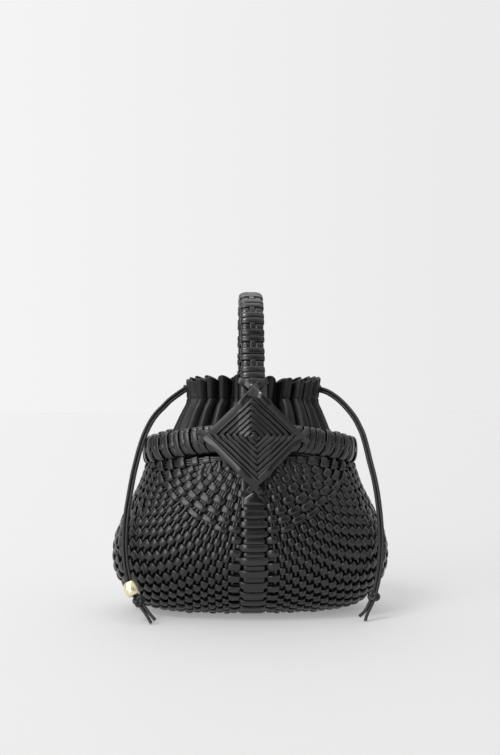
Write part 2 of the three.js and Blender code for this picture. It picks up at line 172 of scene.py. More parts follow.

# The floor is painted a little darker to the right, by the angle across from where the camera stands: painted
# shade, for the light falling off away from the left.
floor_mesh = bpy.data.meshes.new("floor")
corners = [(-1, -1), (1, -1), (1, 1), (-1, 1)]
floor_mesh.from_pydata([(FLOOR_HALF * x, FLOOR_HALF * y, 0.0) for x, y in corners], [], [(0, 1, 2, 3)])
floor_paint, floor_tree, floor_shader = new_finish("pale_floor")
floor_place = axes_of(floor_tree, "Object")
floor_far = maths(floor_tree, "ADD", maths(floor_tree, "ABSOLUTE", floor_place["Y"]), VIEW_DISTANCE)
floor_aside = maths(floor_tree, "DIVIDE", floor_place["X"], floor_far)
set_inputs(floor_shader, {
    "Base Color": ramp(floor_tree, floor_aside, FLOOR_ENDS, (FLOOR_LIT_LEFT, FLOOR_SHADED_RIGHT)),
    "Roughness": 0.7,
    "Emission Color": (1.0, 1.0, 1.0, 1.0),
    # Painted light: the floor glows evenly, which lifts the shadows on it.
    "Emission Strength": FLOOR_GLOW,
    "Specular IOR Level": 0.2,
})
floor_mesh.materials.append(floor_paint)
floor = new_object("floor", floor_mesh)

# The drawcords: two pairs of round leather cords that come out of the pouch's sides and hang down
# over the basket to their knots. Each cord is cut from hide, with fine lines along it.
CORD_THICK = 0.003
CORD_SPACING = 0.003
LEFT_ROUTE = [
    (-0.0612, 0.0, 0.22), (-0.0651, -0.0005, 0.2184), (-0.0724, -0.003, 0.2135), (-0.0802, -0.007, 0.2076),
    (-0.086, -0.011, 0.2017), (-0.0918, -0.015, 0.1959), (-0.0964, -0.018, 0.1901),
    (-0.0998, -0.021, 0.1843), (-0.1026, -0.024, 0.1785), (-0.1053, -0.027, 0.172),
    (-0.109, -0.032, 0.16), (-0.112, -0.036, 0.148), (-0.1149, -0.04, 0.135),
    (-0.1176, -0.045, 0.119), (-0.12, -0.05, 0.103), (-0.1214, -0.054, 0.088),
    (-0.1216, -0.058, 0.07), (-0.1202, -0.062, 0.054), (-0.1178, -0.0645, 0.042),
    (-0.1144, -0.067, 0.0315), (-0.1076, -0.071, 0.0206), (-0.1015, -0.075, 0.0125),
    (-0.094, -0.08, 0.003),
]
RIGHT_ROUTE = [
    (0.0667, 0.0, 0.2188), (0.0699, -0.0003, 0.2181), (0.0765, -0.002, 0.216), (0.083, -0.005, 0.212),
    (0.0893, -0.008, 0.2068), (0.0948, -0.012, 0.2008), (0.0996, -0.0155, 0.1946),
    (0.1034, -0.0185, 0.1886), (0.1066, -0.022, 0.1816), (0.1094, -0.0255, 0.1744),
    (0.1122, -0.03, 0.163), (0.1148, -0.035, 0.1495), (0.1182, -0.04, 0.134),
    (0.1208, -0.045, 0.117), (0.1226, -0.05, 0.097), (0.1233, -0.054, 0.076),
    (0.122, -0.0575, 0.056), (0.119, -0.061, 0.038), (0.1144, -0.065, 0.0226),
    (0.1086, -0.07, 0.0116), (0.1024, -0.075, 0.0034),
]
STEPS_A_LEG = 8
# Below each knot the two ends spread apart, from this leg of the route on.
ENDS_SPREAD_FROM = {"left": 21, "right": 19}
ENDS_SPREAD = {"left": 0.0018, "right": 0.004}


def unit(vectors):
    return vectors / np.maximum(np.linalg.norm(vectors, axis=-1, keepdims=True), 1e-12)


def power(values, exponent):
    return np.sign(values) * np.abs(values) ** exponent


def smoothly(values):
    values = np.clip(values, 0, 1)
    return values * values * (3 - 2 * values)


def directions(points, closed=False):
    """The direction of travel at each point of a line."""
    if closed:
        return unit(np.roll(points, -1, 0) - np.roll(points, 1, 0))
    return unit(np.gradient(points, axis=0))


def distances(points):
    """How far along the line each of its points is."""
    return np.concatenate([[0.0], np.cumsum(np.linalg.norm(np.diff(points, axis=0), axis=1))])


def table_at(table, marks, places):
    """What each column of a table says at places along its marks."""
    return np.stack([np.interp(places, marks, column) for column in table.T], -1)


def curve_through(a, b, c, d, t):
    """A place from the second of four points to the third, on a smooth curve through them all."""
    bend = (2 * a - 5 * b + 4 * c - d) * t**2 + (3 * b - a - 3 * c + d) * t**3
    return b + 0.5 * ((c - a) * t + bend)


def smooth_at(rows, places):
    """Values between the rows of a table, on a smooth curve through all of them."""
    rows = np.asarray(rows, float)
    rows = np.concatenate([[2 * rows[0] - rows[1]], rows, [2 * rows[-1] - rows[-2]]])
    first = np.clip(np.floor(places).astype(int), 0, len(rows) - 4)
    t = (places - first).reshape(-1, *[1] * (rows.ndim - 1))
    return curve_through(*(rows[first + k] for k in range(4)), t)


def strip_tree():
    """Lays a strip or cord along every line of its input. Its section is a rounded rectangle, and each
    point of a line gives the way that the strip faces and how much it is scaled there."""
    tree = bpy.data.node_groups.new("strip_along_line", "GeometryNodeTree")
    given_kinds = {
        "Lines": "Geometry", "Width": "Float", "Thickness": "Float", "Squareness": "Float", "Sides": "Int",
        "Finish": "Material",
    }
    for name, kind in given_kinds.items():
        tree.interface.new_socket(name, in_out="INPUT", socket_type="NodeSocket" + kind)
    tree.interface.new_socket("Strips", in_out="OUTPUT", socket_type="NodeSocketGeometry")
    given = add_node(tree, "NodeGroupInput").outputs
    circle = add_node(tree, "GeometryNodeCurvePrimitiveCircle", {"Resolution": given["Sides"], "Radius": 1.0})
    place = add_node(tree, "ShaderNodeSeparateXYZ", {0: add_node(tree, "GeometryNodeInputPosition")})
    section = {}
    for axis, size in {"X": "Thickness", "Y": "Width"}.items():
        amount = maths(tree, "ABSOLUTE", place.outputs[axis])
        rounded = maths(tree, "POWER", amount, given["Squareness"])
        signed = maths(tree, "MULTIPLY", rounded, maths(tree, "SIGN", place.outputs[axis]))
        section[axis] = maths(tree, "MULTIPLY", maths(tree, "MULTIPLY", signed, given[size]), 0.5)
    section_place = add_node(tree, "ShaderNodeCombineXYZ", section)
    shaped = add_node(tree, "GeometryNodeSetPosition", {"Geometry": circle, "Position": section_place})
    factor = add_node(tree, "GeometryNodeSplineParameter").outputs["Factor"]
    across = add_node(
        tree, "GeometryNodeStoreNamedAttribute", data_type="FLOAT", domain="POINT",
        inputs={"Name": "across", "Geometry": shaped, "Value": factor},
    )
    read = "GeometryNodeInputNamedAttribute"
    facing = add_node(tree, read, {"Name": "facing"}, data_type="FLOAT_VECTOR")
    scale = add_node(tree, read, {"Name": "size"}, data_type="FLOAT")
    lines = add_node(tree, "GeometryNodeMeshToCurve", {0: given["Lines"]})
    turned = add_node(tree, "GeometryNodeSetCurveNormal", {"Curve": lines, "Normal": facing}, mode="FREE")
    swept = add_node(
        tree, "GeometryNodeCurveToMesh",
        {"Curve": turned, "Profile Curve": across, "Scale": scale, "Fill Caps": True},
    )
    smooth = add_node(tree, "GeometryNodeSetShadeSmooth", {"Geometry": swept})
    whole = add_node(tree, "GeometryNodeRealizeInstances", {0: smooth})
    finish = add_node(tree, "GeometryNodeSetMaterial", {"Geometry": whole, "Material": given["Finish"]})
    add_node(tree, "NodeGroupOutput", {0: finish})
    return tree


STRIP_TREE = strip_tree()
STRIP_SOCKETS = {socket.name: socket.identifier for socket in STRIP_TREE.interface.items_tree}


def line_of(points, facing, size=1.0, closed=False):
    """One line for a strip to follow: its points, the way that the strip faces, and its scale."""
    points = np.asarray(points, float)
    facing = np.broadcast_to(np.asarray(facing, float), points.shape)
    way = directions(points, closed)
    facing = unit(facing - way * np.sum(facing * way, axis=1, keepdims=True))
    size = np.broadcast_to(np.asarray(size, float), len(points))
    return {"points": points, "facing": facing, "size": size, "closed": closed}


def lay_strips(name, lines, finish, width, thickness, squareness=0.7, sides=12):
    """Makes one piece of strips, one along each line, as a plain mesh."""
    edges = []
    count = 0
    for line in lines:
        number = len(line["points"])
        edges += [(count + i, count + i + 1) for i in range(number - 1)]
        if line["closed"]:
            edges.append((count + number - 1, count))
        count += number
    paths = bpy.data.meshes.new(name)
    paths.from_pydata(np.concatenate([line["points"] for line in lines]).tolist(), edges, [])
    strands = [np.full(len(line["points"]), (0.618 * i) % 1) for i, line in enumerate(lines)]
    values = {
        "facing": ("FLOAT_VECTOR", "vector", [line["facing"].ravel() for line in lines]),
        "size": ("FLOAT", "value", [line["size"] for line in lines]),
        "along": ("FLOAT", "value", [distances(line["points"]) for line in lines]),
        "strand": ("FLOAT", "value", strands),
    }
    for key, (kind, field, rows) in values.items():
        attribute = paths.attributes.new(key, kind, "POINT")
        attribute.data.foreach_set(field, np.concatenate(rows).astype(np.float32))
    guide = new_object(name, paths)
    modifier = guide.modifiers.new("strips", "NODES")
    modifier.node_group = STRIP_TREE
    settings = {"Width": width, "Thickness": thickness, "Squareness": squareness, "Sides": sides}
    for key, value in {**settings, "Finish": finish}.items():
        modifier[STRIP_SOCKETS[key]] = value
    ready = bpy.context.evaluated_depsgraph_get()
    mesh = bpy.data.meshes.new_from_object(guide.evaluated_get(ready), depsgraph=ready)
    bpy.data.objects.remove(guide)
    return new_object(name, mesh)


HIDE_BLACK = (0.007, 0.007, 0.0072)
HIDE_CHANGE = 0.25
CUT_LINES_ALONG = 40.0
CUT_LINES_ACROSS = 18.0
CUT_LINE_DEPTH = 0.0003


def attribute(tree, name):
    return add_node(tree, "ShaderNodeAttribute", attribute_name=name).outputs["Fac"]


def noise(tree, vector, scale, detail=2.0):
    settings = {"Vector": vector, "Scale": scale, "Detail": detail}
    return add_node(tree, "ShaderNodeTexNoise", settings).outputs["Fac"]


def bump(tree, strength, distance, height):
    return add_node(tree, "ShaderNodeBump", {"Strength": strength, "Distance": distance, "Height": height})


def leather(name, roughness, grain=0.0004, grain_depth=0.07, lines=0.0, twist=0.0, shine=0.5):
    """Black hide: a fine pebbled grain, fine lines along a strip where it was cut, or wound round it where
    it is twisted, and a little change in shade and gloss from strip to strip and along each one."""
    finish, tree, shader = new_finish(name)
    place = add_node(tree, "ShaderNodeTexCoord").outputs["Object"]
    strand = attribute(tree, "strand")
    cloud = noise(tree, place, 60.0, 3.0)
    tone = ramp(tree, maths(tree, "ADD", strand, cloud), (0.4, 1.6), (1.0 - HIDE_CHANGE, 1.0 + HIDE_CHANGE))
    hue = add_node(tree, "ShaderNodeMix", data_type="RGBA", blend_type="MULTIPLY")
    set_inputs(hue, {"Factor": 1.0, "A": (*HIDE_BLACK, 1.0), "B": tone})
    pebble = add_node(tree, "ShaderNodeTexVoronoi", {"Scale": 1.0 / grain, "Vector": place})
    surface = bump(tree, grain_depth, 0.25 * grain, pebble.outputs["Distance"])
    if lines:
        along = attribute(tree, "along")
        turned = maths(tree, "MULTIPLY", along, twist)
        sheet = add_node(tree, "ShaderNodeCombineXYZ", {
            "X": maths(tree, "MULTIPLY", along, CUT_LINES_ALONG),
            "Y": maths(tree, "MULTIPLY_ADD", attribute(tree, "across"), CUT_LINES_ACROSS, turned),
            "Z": strand,
        })
        cut = bump(tree, lines, CUT_LINE_DEPTH, noise(tree, sheet, 1.0))
        surface = set_inputs(cut, {"Normal": surface})
    set_inputs(shader, {
        "Base Color": hue.outputs["Result"],
        "Roughness": ramp(tree, cloud, wanted=(roughness - 0.06, roughness + 0.1)),
        "Specular IOR Level": shine,
        "Normal": surface,
    })
    return finish


cord_leather = leather("cord_leather", 0.4, lines=0.9, twist=1900.0)
cords = {}
for pair, route in {"left": LEFT_ROUTE, "right": RIGHT_ROUTE}.items():
    route_places = np.linspace(0, len(route) - 1, (len(route) - 1) * STEPS_A_LEG + 1)
    middle = smooth_at(route, route_places)
    aside = unit(np.cross(directions(middle), (0.0, 1.0, 0.0)))
    for strand, side in {"a": -1, "b": 1}.items():
        name = "cord_" + pair + "_" + strand
        below = np.clip(route_places - ENDS_SPREAD_FROM[pair], 0, 1)[:, None]
        line = middle + aside * side * (CORD_SPACING + ENDS_SPREAD[pair] * below**2) / 2
        cord = lay_strips(
            "drawcord_" + pair + "_" + strand, [line_of(line, (0.0, -1.0, 0.0))],
            cord_leather, CORD_THICK, CORD_THICK, squareness=1.0, sides=20,
        )
        cords[name] = (cord, line)
        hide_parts(name)
        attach(cord, "root")

# The bead and the knots on the drawcords. The bead is a turned nugget of brushed pale gold with a wide
# bore for both cords of the left pair. Below it, and on the right, each pair ends in an overhand knot.
BEAD_HALF_WIDE = 0.0075
BEAD_HALF_LONG = 0.007
BEAD_BORE_HALF = 0.004
BEAD_WAIST = 0.0004
BEAD_SIDE_ROUND = 0.8
BEAD_END_ROUND = 1.15
BEAD_AT = 19
KNOTS_AT = {"left": 20, "right": 18}
KNOT_RING = 0.0028
KNOT_SWING = 0.0017
KNOT_STRAND = 0.0042


def along_route(route, at):
    """A place on a cord's route, the way down the cord there, and two ways across it."""
    route = np.array(route)
    down = unit(route[at + 1] - route[at - 1])
    aside = unit(np.cross(down, (0.0, 1.0, 0.0)))
    return route[at], down, aside, np.cross(aside, down)


def brushed_gold():
    """Pale gold, brushed round the bead, with faint scratches and a little tarnish here and there."""
    finish, tree, shader = new_finish("pale_gold")
    place = add_node(tree, "ShaderNodeTexCoord").outputs["Object"]
    stretch = add_node(tree, "ShaderNodeMapping", {"Vector": place, "Scale": (1.0, 1.0, 9.0)})
    scratch = noise(tree, stretch, 420.0)
    colour = add_node(tree, "ShaderNodeValToRGB", {"Fac": noise(tree, place, 150.0)})
    tones = ((0.3, (0.8, 0.68, 0.4, 1.0)), (0.6, (0.97, 0.9, 0.66, 1.0)))
    for element, (position, tone) in zip(colour.color_ramp.elements, tones):
        element.position = position
        element.color = tone
    set_inputs(shader, {
        "Metallic": 1.0,
        "Base Color": colour,
        "Roughness": ramp(tree, scratch, wanted=(0.26, 0.44)),
        "Normal": bump(tree, 0.25, 0.0003, scratch),
    })
    return finish


def closed_sheet(name, rows, finish, capped=False):
    """A closed mesh of rings of points. The last ring is joined to the first one, or both are capped."""
    rows = np.asarray(rows)
    count, sides = rows.shape[:2]
    points = rows.reshape(-1, 3).tolist()
    pairs = [(j, (j + 1) % sides) for j in range(sides)]
    faces = []
    for i in range(count - 1 if capped else count):
        here = i * sides
        after = (i + 1) % count * sides
        faces += [(here + j, here + k, after + k, after + j) for j, k in pairs]
    if capped:
        for ring in (0, count - 1):
            points.append(rows[ring].mean(0).tolist())
            faces += [(ring * sides + k, ring * sides + j, len(points) - 1) for j, k in pairs]
    mesh = bpy.data.meshes.new(name)
    mesh.from_pydata(points, [], faces)
    shell = bmesh.new()
    shell.from_mesh(mesh)
    bmesh.ops.recalc_face_normals(shell, faces=shell.faces)
    shell.to_mesh(mesh)
    shell.free()
    mesh.shade_smooth()
    mesh.materials.append(finish)
    return new_object(name, mesh)


spot, down, aside, front_way = along_route(LEFT_ROUTE, BEAD_AT)
turn = np.linspace(0, 2 * math.pi, 48, endpoint=False)
round_bead = np.linspace(-0.5, 0.5, 21) * math.pi
wall_wide = BEAD_BORE_HALF + (BEAD_HALF_WIDE - BEAD_BORE_HALF) * np.cos(round_bead) ** BEAD_SIDE_ROUND
wall_place = BEAD_HALF_LONG * power(np.sin(round_bead), BEAD_END_ROUND)
wall_wide = np.concatenate([wall_wide, [BEAD_BORE_HALF - BEAD_WAIST] * 3])
wall_place = np.concatenate([wall_place, np.array([0.8, 0.0, -0.8]) * BEAD_HALF_LONG])
uneven = 1 + 0.03 * np.sin(3 * turn + 1.0) + 0.02 * np.sin(5 * turn)
away = np.cos(turn)[:, None] * aside + np.sin(turn)[:, None] * front_way
bead_rows = []
for wide, far in zip(wall_wide, wall_place):
    shape = uneven if wide > BEAD_BORE_HALF + 0.001 else np.ones_like(turn)
    bead_rows.append(spot + down * far + wide * shape[:, None] * away)
gold_bead = closed_sheet("gold_bead", bead_rows, brushed_gold())
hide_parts("bead")
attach(gold_bead, "root")

for pair, route in {"left": LEFT_ROUTE, "right": RIGHT_ROUTE}.items():
    spot, down, aside, front_way = along_route(route, KNOTS_AT[pair])
    turn = np.linspace(0, 2 * math.pi, 90, endpoint=False)[:, None]
    reach = KNOT_RING + KNOT_SWING * np.cos(3 * turn)
    swing = KNOT_SWING * np.sin(3 * turn)
    knot_line = spot + reach * (np.cos(2 * turn) * aside + 0.85 * np.sin(2 * turn) * down) + swing * front_way
    knot = lay_strips(
        "overhand_knot_" + pair, [line_of(knot_line, front_way, closed=True)],
        cord_leather, KNOT_STRAND, KNOT_STRAND, squareness=1.0, sides=16,
    )
    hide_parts("knot_" + pair)
    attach(knot, "root")

for name, (cord, line) in cords.items():
    pair = name.split("_")[1]
    tuple(line[0])
    float(distances(line)[-1])
    [tuple(point) for point in line]

# The woven basket: stiff round ribs run from the front lashing round the body to the rear one, and flat
# strips of hide are woven over and under them, in fans round each lashing and then along the outline.
# The ribs share the wall's thickness with the strips.
_, wall_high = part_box("basket_wall")
rim_low, rim_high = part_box("rim_band")
BELLY_HALF_WIDTH = wall_high.x
BELLY_HALF_DEPTH = wall_high.y
BELLY_HEIGHT = 0.057
RIM_THICK = 0.012
RIM_TALL = 0.027
RIM_HALF_WIDTH = rim_high.x - RIM_THICK / 2
RIM_HALF_DEPTH = rim_high.y - RIM_THICK / 2
RIM_SIDE_HEIGHT = rim_low.z + RIM_TALL / 2
RIM_FRONT_RISE = rim_high.z - RIM_TALL / 2 - RIM_SIDE_HEIGHT
WALL_THICK = 0.005
CLEARANCE = 0.0003
# Below the belly: height, width and depth as shares of the belly's.
LOWER_WALL = [
    (0.0, 0.645, 0.357), (0.1, 0.775, 0.535), (0.246, 0.857, 0.69), (0.386, 0.908, 0.786),
    (0.561, 0.96, 0.887), (0.772, 0.993, 0.964), (1.0, 1.0, 1.0),
]
# Above it: height as a share of the way to the rim, bulge beyond the neck as a share of the belly's.
UPPER_WALL = [
    (0.149, 0.954, 1.0), (0.31, 0.83, 0.926), (0.47, 0.615, 0.778), (0.63, 0.4, 0.593),
    (0.79, 0.185, 0.37), (1.0, 0.0, 0.0),
]
NECK_HALF_WIDTH = RIM_HALF_WIDTH + WALL_THICK / 2
NECK_HALF_DEPTH = RIM_HALF_DEPTH + WALL_THICK / 2

rows = [(h, w * BELLY_HALF_WIDTH, d * BELLY_HALF_DEPTH, 2.3) for h, w, d in LOWER_WALL]
rows += [
    (
        1 + h,
        NECK_HALF_WIDTH + w * (BELLY_HALF_WIDTH - NECK_HALF_WIDTH),
        NECK_HALF_DEPTH + d * (BELLY_HALF_DEPTH - NECK_HALF_DEPTH),
        2.0 + 0.3 * w,
    )
    for h, w, d in UPPER_WALL
]
WALL_TABLE = smooth_at(rows, np.linspace(0, len(rows) - 1, 600))


def wall_top(angle):
    return RIM_SIDE_HEIGHT + RIM_FRONT_RISE * np.cos(angle) ** 2 - RIM_TALL / 2 - CLEARANCE


def wall_at(level):
    """The wall's half width, half depth and squareness at a level from 0, the base, to 2, the rim."""
    return [np.interp(level, WALL_TABLE[:, 0], WALL_TABLE[:, k]) for k in (1, 2, 3)]


def oval_at(height, angle):
    """The same at a height, towards an angle from the front."""
    up = (height - BELLY_HEIGHT) / (wall_top(angle) - BELLY_HEIGHT)
    level = np.where(height < BELLY_HEIGHT, height / BELLY_HEIGHT, 1 + up)
    return wall_at(np.clip(level, 0, 2))


def front_point(across, height):
    """The point of the basket's front that lies at a place in the front view."""
    angle = np.zeros_like(across)
    for _ in range(6):
        width, depth, square = oval_at(height, angle)
        share = np.clip(np.abs(across) / width, 0, 1)
        angle = np.arcsin(share ** (square / 2))
        height = np.minimum(height, wall_top(angle))
    back = depth * (1 - share**square) ** (1 / square)
    across = np.sign(across) * np.minimum(np.abs(across), width)
    return np.stack([across, -back, height], -1)


def swell(points):
    """Over 1 outside the basket and under 1 inside."""
    x, y, z = np.abs(points.T)
    angle = np.arctan2(x, y)
    for _ in range(4):
        width, depth, square = oval_at(z, angle)
        angle = np.arctan2((x / width) ** (square / 2), (y / depth) ** (square / 2))
    width, depth, square = oval_at(z, angle)
    return (x / width) ** square + (y / depth) ** square


def outwards(points):
    """The way out of the basket's face at each point, straight down on its flat base."""
    step = 0.0004
    slope = np.zeros_like(points)
    for axis in range(3):
        reach = np.zeros(3)
        reach[axis] = step
        slope[:, axis] = swell(points + reach) - swell(points - reach)
    low = np.clip(1 - points[:, 2] / 0.002, 0, 1)[:, None]
    return unit(unit(slope) * (1 - low) + np.array([0.0, 0.0, -1.0]) * low)


# The ribs, counted from the spine. They leave the lashing in groups, spread evenly at the fan's edge,
# and cross the outline at the side of the basket.
RIBS = 26
FAN_HEIGHT = 0.176
FAN_DROP = 0.018
FAN_DROP_FROM = 40
FAN_DROP_TO = 84
FAN_START = 0.029
FAN_GATHERED = 0.082
FAN_EDGE = 0.096
RIB_FIRST_TURN = 7.5
RIB_TURN = 3.0
RIB_GAP = 0.00235
RIB_GAP_TURN = 0.052
RIB_WIDE = 0.0032
RIB_THICK = 0.0026
FAN_RIB_WIDE = 0.0027
FAN_RIBS_FULL = 0.045
EDGE_TURN = 88.5
FIRST_FOOT = 0.0175
LAST_FOOT = 0.262
FOOT_EVEN = 0.66
RIB_BEND = 0.4
PATH_POINTS = 160
FAN_STEPS = 24


def fan_middle(turn):
    """The height of the middle that a rib fans out from, lower for the ribs near the rim."""
    return FAN_HEIGHT - FAN_DROP * smoothly((turn - FAN_DROP_FROM) / (FAN_DROP_TO - FAN_DROP_FROM))


def rib_turn(rib, radius):
    """A rib's angle from straight down, in degrees, at a distance from the middle of the fan."""
    even = RIB_FIRST_TURN + RIB_TURN * rib
    group = np.floor(rib / 3)
    middle = np.where(group < 1, 1.5, 3 * group + 1)
    gap = np.minimum(RIB_GAP / radius, RIB_GAP_TURN)
    gathered = RIB_FIRST_TURN + RIB_TURN * middle + np.degrees((rib - middle) * gap)
    return gathered + (even - gathered) * smoothly((radius - FAN_GATHERED) / (FAN_EDGE - FAN_GATHERED))


def fan_place(turn, radius):
    """Where an angle and a distance from the fan's middle lie in the front view."""
    angle = np.radians(turn)
    return radius * np.sin(angle), fan_middle(turn) - radius * np.cos(angle)


# The outline from the middle of the base: along its flat bottom, and up the side.
levels = WALL_TABLE[WALL_TABLE[:, 0] <= 2]
side_heights = np.where(
    levels[:, 0] < 1,
    levels[:, 0] * BELLY_HEIGHT,
    BELLY_HEIGHT + (levels[:, 0] - 1) * (wall_top(math.pi / 2) - BELLY_HEIGHT),
)
outline = np.vstack([[0.0, 0.0], np.stack([levels[:, 1], side_heights], 1)])
outline_reach = distances(outline)


def rib_line(rib):
    """A rib's line from the fan's edge to the middle of the basket's side or base, evenly spaced."""
    turn = 0.0 if rib < 1 else RIB_FIRST_TURN + RIB_TURN * rib
    if rib > RIBS:
        turn = EDGE_TURN
    start = np.array(fan_place(turn, FAN_EDGE))
    share = (rib - 1) / (RIBS - 1)
    reach = FIRST_FOOT + (LAST_FOOT - FIRST_FOOT) * (FOOT_EVEN * share + (1 - FOOT_EVEN) * share**2)
    reach = 0.0 if rib < 1 else min(reach, outline_reach[-1])
    if rib > RIBS:
        reach = outline_reach[-1]
    end = table_at(outline, outline_reach, reach)
    way = np.array([math.sin(math.radians(turn)), -math.cos(math.radians(turn))])
    bend = start + way * RIB_BEND * np.linalg.norm(end - start)
    t = 1 - (1 - np.linspace(0, 1, 400)[:, None]) ** 2
    flat = (1 - t) ** 2 * start + 2 * t * (1 - t) * bend + t**2 * end
    line = front_point(flat[:, 0], np.maximum(flat[:, 1], 0.0))
    line[-1, 1] = 0.0
    if end[1] <= 0.0:
        line = np.vstack([line[:-1], np.linspace(line[-2] * (1, 1, 0), (end[0], 0.0, 0.0), 80)])
    along = distances(line)
    return table_at(line, along, np.linspace(0, along[-1], PATH_POINTS))


rib_lines = np.array([rib_line(rib) for rib in range(RIBS + 2)])
rib_lengths = np.array([distances(line)[-1] for line in rib_lines])

# The strips beyond the fan. Where the ribs are short there is room for fewer strips, so pairs of them
# run out, and the ends are tucked behind their neighbours.
OUTER_ROWS = 22
ROW_PITCH = rib_lengths[0] / OUTER_ROWS
DROP_ORDER = [5, 2, 8, 4, 6, 3, 7, 1, 9]
MOST_LEFT = 21
ROW_FADE = 1.2

row_weights = np.ones((RIBS + 2, OUTER_ROWS))
room = rib_lengths / ROW_PITCH
for order, pair in enumerate(DROP_ORDER):
    wanted = MOST_LEFT - 2 * order
    kept = np.clip((room - wanted) / ROW_FADE + 0.5, 0, 1)
    row_weights[:, 2 * pair : 2 * pair + 2] = kept[:, None]
total = row_weights.sum(1, keepdims=True)
row_shares = 1 - (np.cumsum(row_weights, 1) - row_weights / 2) / total
row_pitches = rib_lengths[:, None] / total * row_weights


def surface_places(ribs, shares):
    """Points of the basket's front at places counted in ribs from the spine, and in shares of a rib."""
    side = np.sign(ribs)
    ribs = np.abs(ribs)
    first = np.clip(np.floor(ribs).astype(int), 0, RIBS)
    t = (ribs - first)[:, None]
    corners = []
    for step in (-1, 0, 1, 2):
        index = first + step
        line = rib_lines[np.clip(np.abs(index), 0, RIBS + 1)]
        place = shares * (PATH_POINTS - 1)
        low = np.clip(np.floor(place).astype(int), 0, PATH_POINTS - 2)
        part = (place - low)[:, None]
        rows_here = np.arange(len(ribs))
        point = line[rows_here, low] * (1 - part) + line[rows_here, low + 1] * part
        point[index < 0] *= (-1, 1, 1)
        corners.append(point)
    points = curve_through(*corners, t)
    points[:, 0] *= np.where(side < 0, -1, 1)
    return points


# How far the strips rise and dip, from a middle that lies inside the basket's face.
MIDDLE_DEPTH = 0.0026
BASE_MIDDLE_DEPTH = 0.0036
STRIP_RISE = 0.0024
FAN_PROUD = 0.0006
FAN_FLAT = 0.0545
STRIP_WIDE = 0.0066
STRIP_THICK = 0.0021
STRIP_OVER = 1.06
STRIP_UNDER = 0.85
SPINE_RISE = 0.0036
SPINE_HALF = 0.0082
FIRST_RIB = 0.0168
SPINE_PROUD_FROM = 0.0244
BASE_ROUND = 0.009
WAVE_ROUND = 0.28
SAMPLES = np.array([0.0, 0.17, 0.34, 0.5, 0.66, 0.83])


def middle_depth(points):
    """How deep inside the basket's face the middle of the weave lies."""
    low = np.clip(1 - points[:, 2] / BASE_ROUND, 0, 1)[:, None]
    return MIDDLE_DEPTH + (BASE_MIDDLE_DEPTH - MIDDLE_DEPTH) * low


def proud_share(height):
    """How far up the basket's rounded foot a height is: the spine stands proud only above it."""
    return np.clip(height / SPINE_PROUD_FROM, 0, 1)


def weave(points, units, start_over, size, proud_by=0.0, hidden=False):
    """Lifts a line of points off the basket's middle surface: over and under, one unit after another."""
    side = 1 if start_over else -1
    rise = STRIP_RISE * power(np.cos(math.pi * units), WAVE_ROUND) * side
    near = np.abs(units) < 1
    off_spine = np.clip((np.abs(points[:, 0]) - SPINE_HALF) / (FIRST_RIB - SPINE_HALF), 0, 1)
    turn = power(np.cos(math.pi * off_spine), WAVE_ROUND)
    top = STRIP_RISE + (SPINE_RISE - STRIP_RISE) * proud_share(points[:, 2]) * (turn > 0)
    if hidden:
        rise = np.where(near & start_over, -STRIP_RISE, rise)
    else:
        rise = np.where(near, top * turn * side, rise)
    out = outwards(points)
    over = 0.5 + 0.5 * rise / STRIP_RISE
    scale = size * (STRIP_UNDER + (STRIP_OVER - STRIP_UNDER) * np.clip(over, 0, 1))
    return line_of(points + out * (rise[:, None] + proud_by - middle_depth(points)), out, scale)


# How far each strip of the fan runs from its middle. The first few pass under the plate on the spine.
FAN_ROWS = [0.0389, 0.0449, 0.051, 0.0561, 0.062, 0.0687, 0.0742, 0.0798, 0.0836, 0.0893, 0.0925]
FAN_LAST_TURN = 86.5
FAN_HIDDEN = 0.067
FAN_FULL_PITCH = 0.0054
FAN_SIZES = (0.76, 1.04)
STRIP_SIZES = (0.55, 1.1)
# A strip beyond the fan ends where less than this share of it has room.
ROW_ENDS_AT = 0.4


def both_ways(places):
    """Places counted from the spine, on both sides of it."""
    return np.concatenate([-places[:0:-1], places])


def fan_strips():
    """The strips woven round the lashing, over and under a group of ribs at a time."""
    groups = np.array([0.0] + [1.5] + [3.0 * g + 1 for g in range(1, 9)] + [29.0])
    turns = RIB_FIRST_TURN + RIB_TURN * groups
    turns[0] = 0.0
    for row, radius in enumerate(FAN_ROWS):
        fine = np.concatenate([g + np.linspace(0, 1, 10, endpoint=False) for g in range(len(groups) - 1)])
        turn = np.interp(fine, np.arange(len(groups)), turns)
        keep = turn <= FAN_LAST_TURN
        turn, unit_place = turn[keep], fine[keep]
        turn, unit_place = both_ways(turn), both_ways(unit_place)
        x, z = fan_place(np.abs(turn), radius)
        points = front_point(np.sign(turn) * x, z)
        size = np.full(len(turn), np.clip(np.gradient(FAN_ROWS)[row] / FAN_FULL_PITCH, *FAN_SIZES))
        proud_by = FAN_PROUD * np.clip((radius - FAN_FLAT) / (FAN_HIDDEN - FAN_FLAT), -1, 1)
        yield weave(points, unit_place, row % 2 == 0, size, proud_by, radius < FAN_HIDDEN)


def outer_strips():
    """The strips woven along the outline, over and under one rib at a time."""
    for row in range(OUTER_ROWS):
        number = len(FAN_ROWS) + OUTER_ROWS - 1 - row
        kept = row_weights[:, row]
        last = RIBS + 0.6 if kept.min() > ROW_ENDS_AT else float(np.argmax(kept < ROW_ENDS_AT)) - 0.4
        places = np.concatenate([rib + SAMPLES for rib in range(RIBS + 1)])
        places = both_ways(places[places < last])
        share = smooth_at(row_shares[:, row], np.abs(places))
        pitch = smooth_at(row_pitches[:, row], np.abs(places))
        points = surface_places(places, share)
        size = np.clip(pitch / ROW_PITCH, *STRIP_SIZES)
        yield weave(points, places, number % 2 == 0, size)


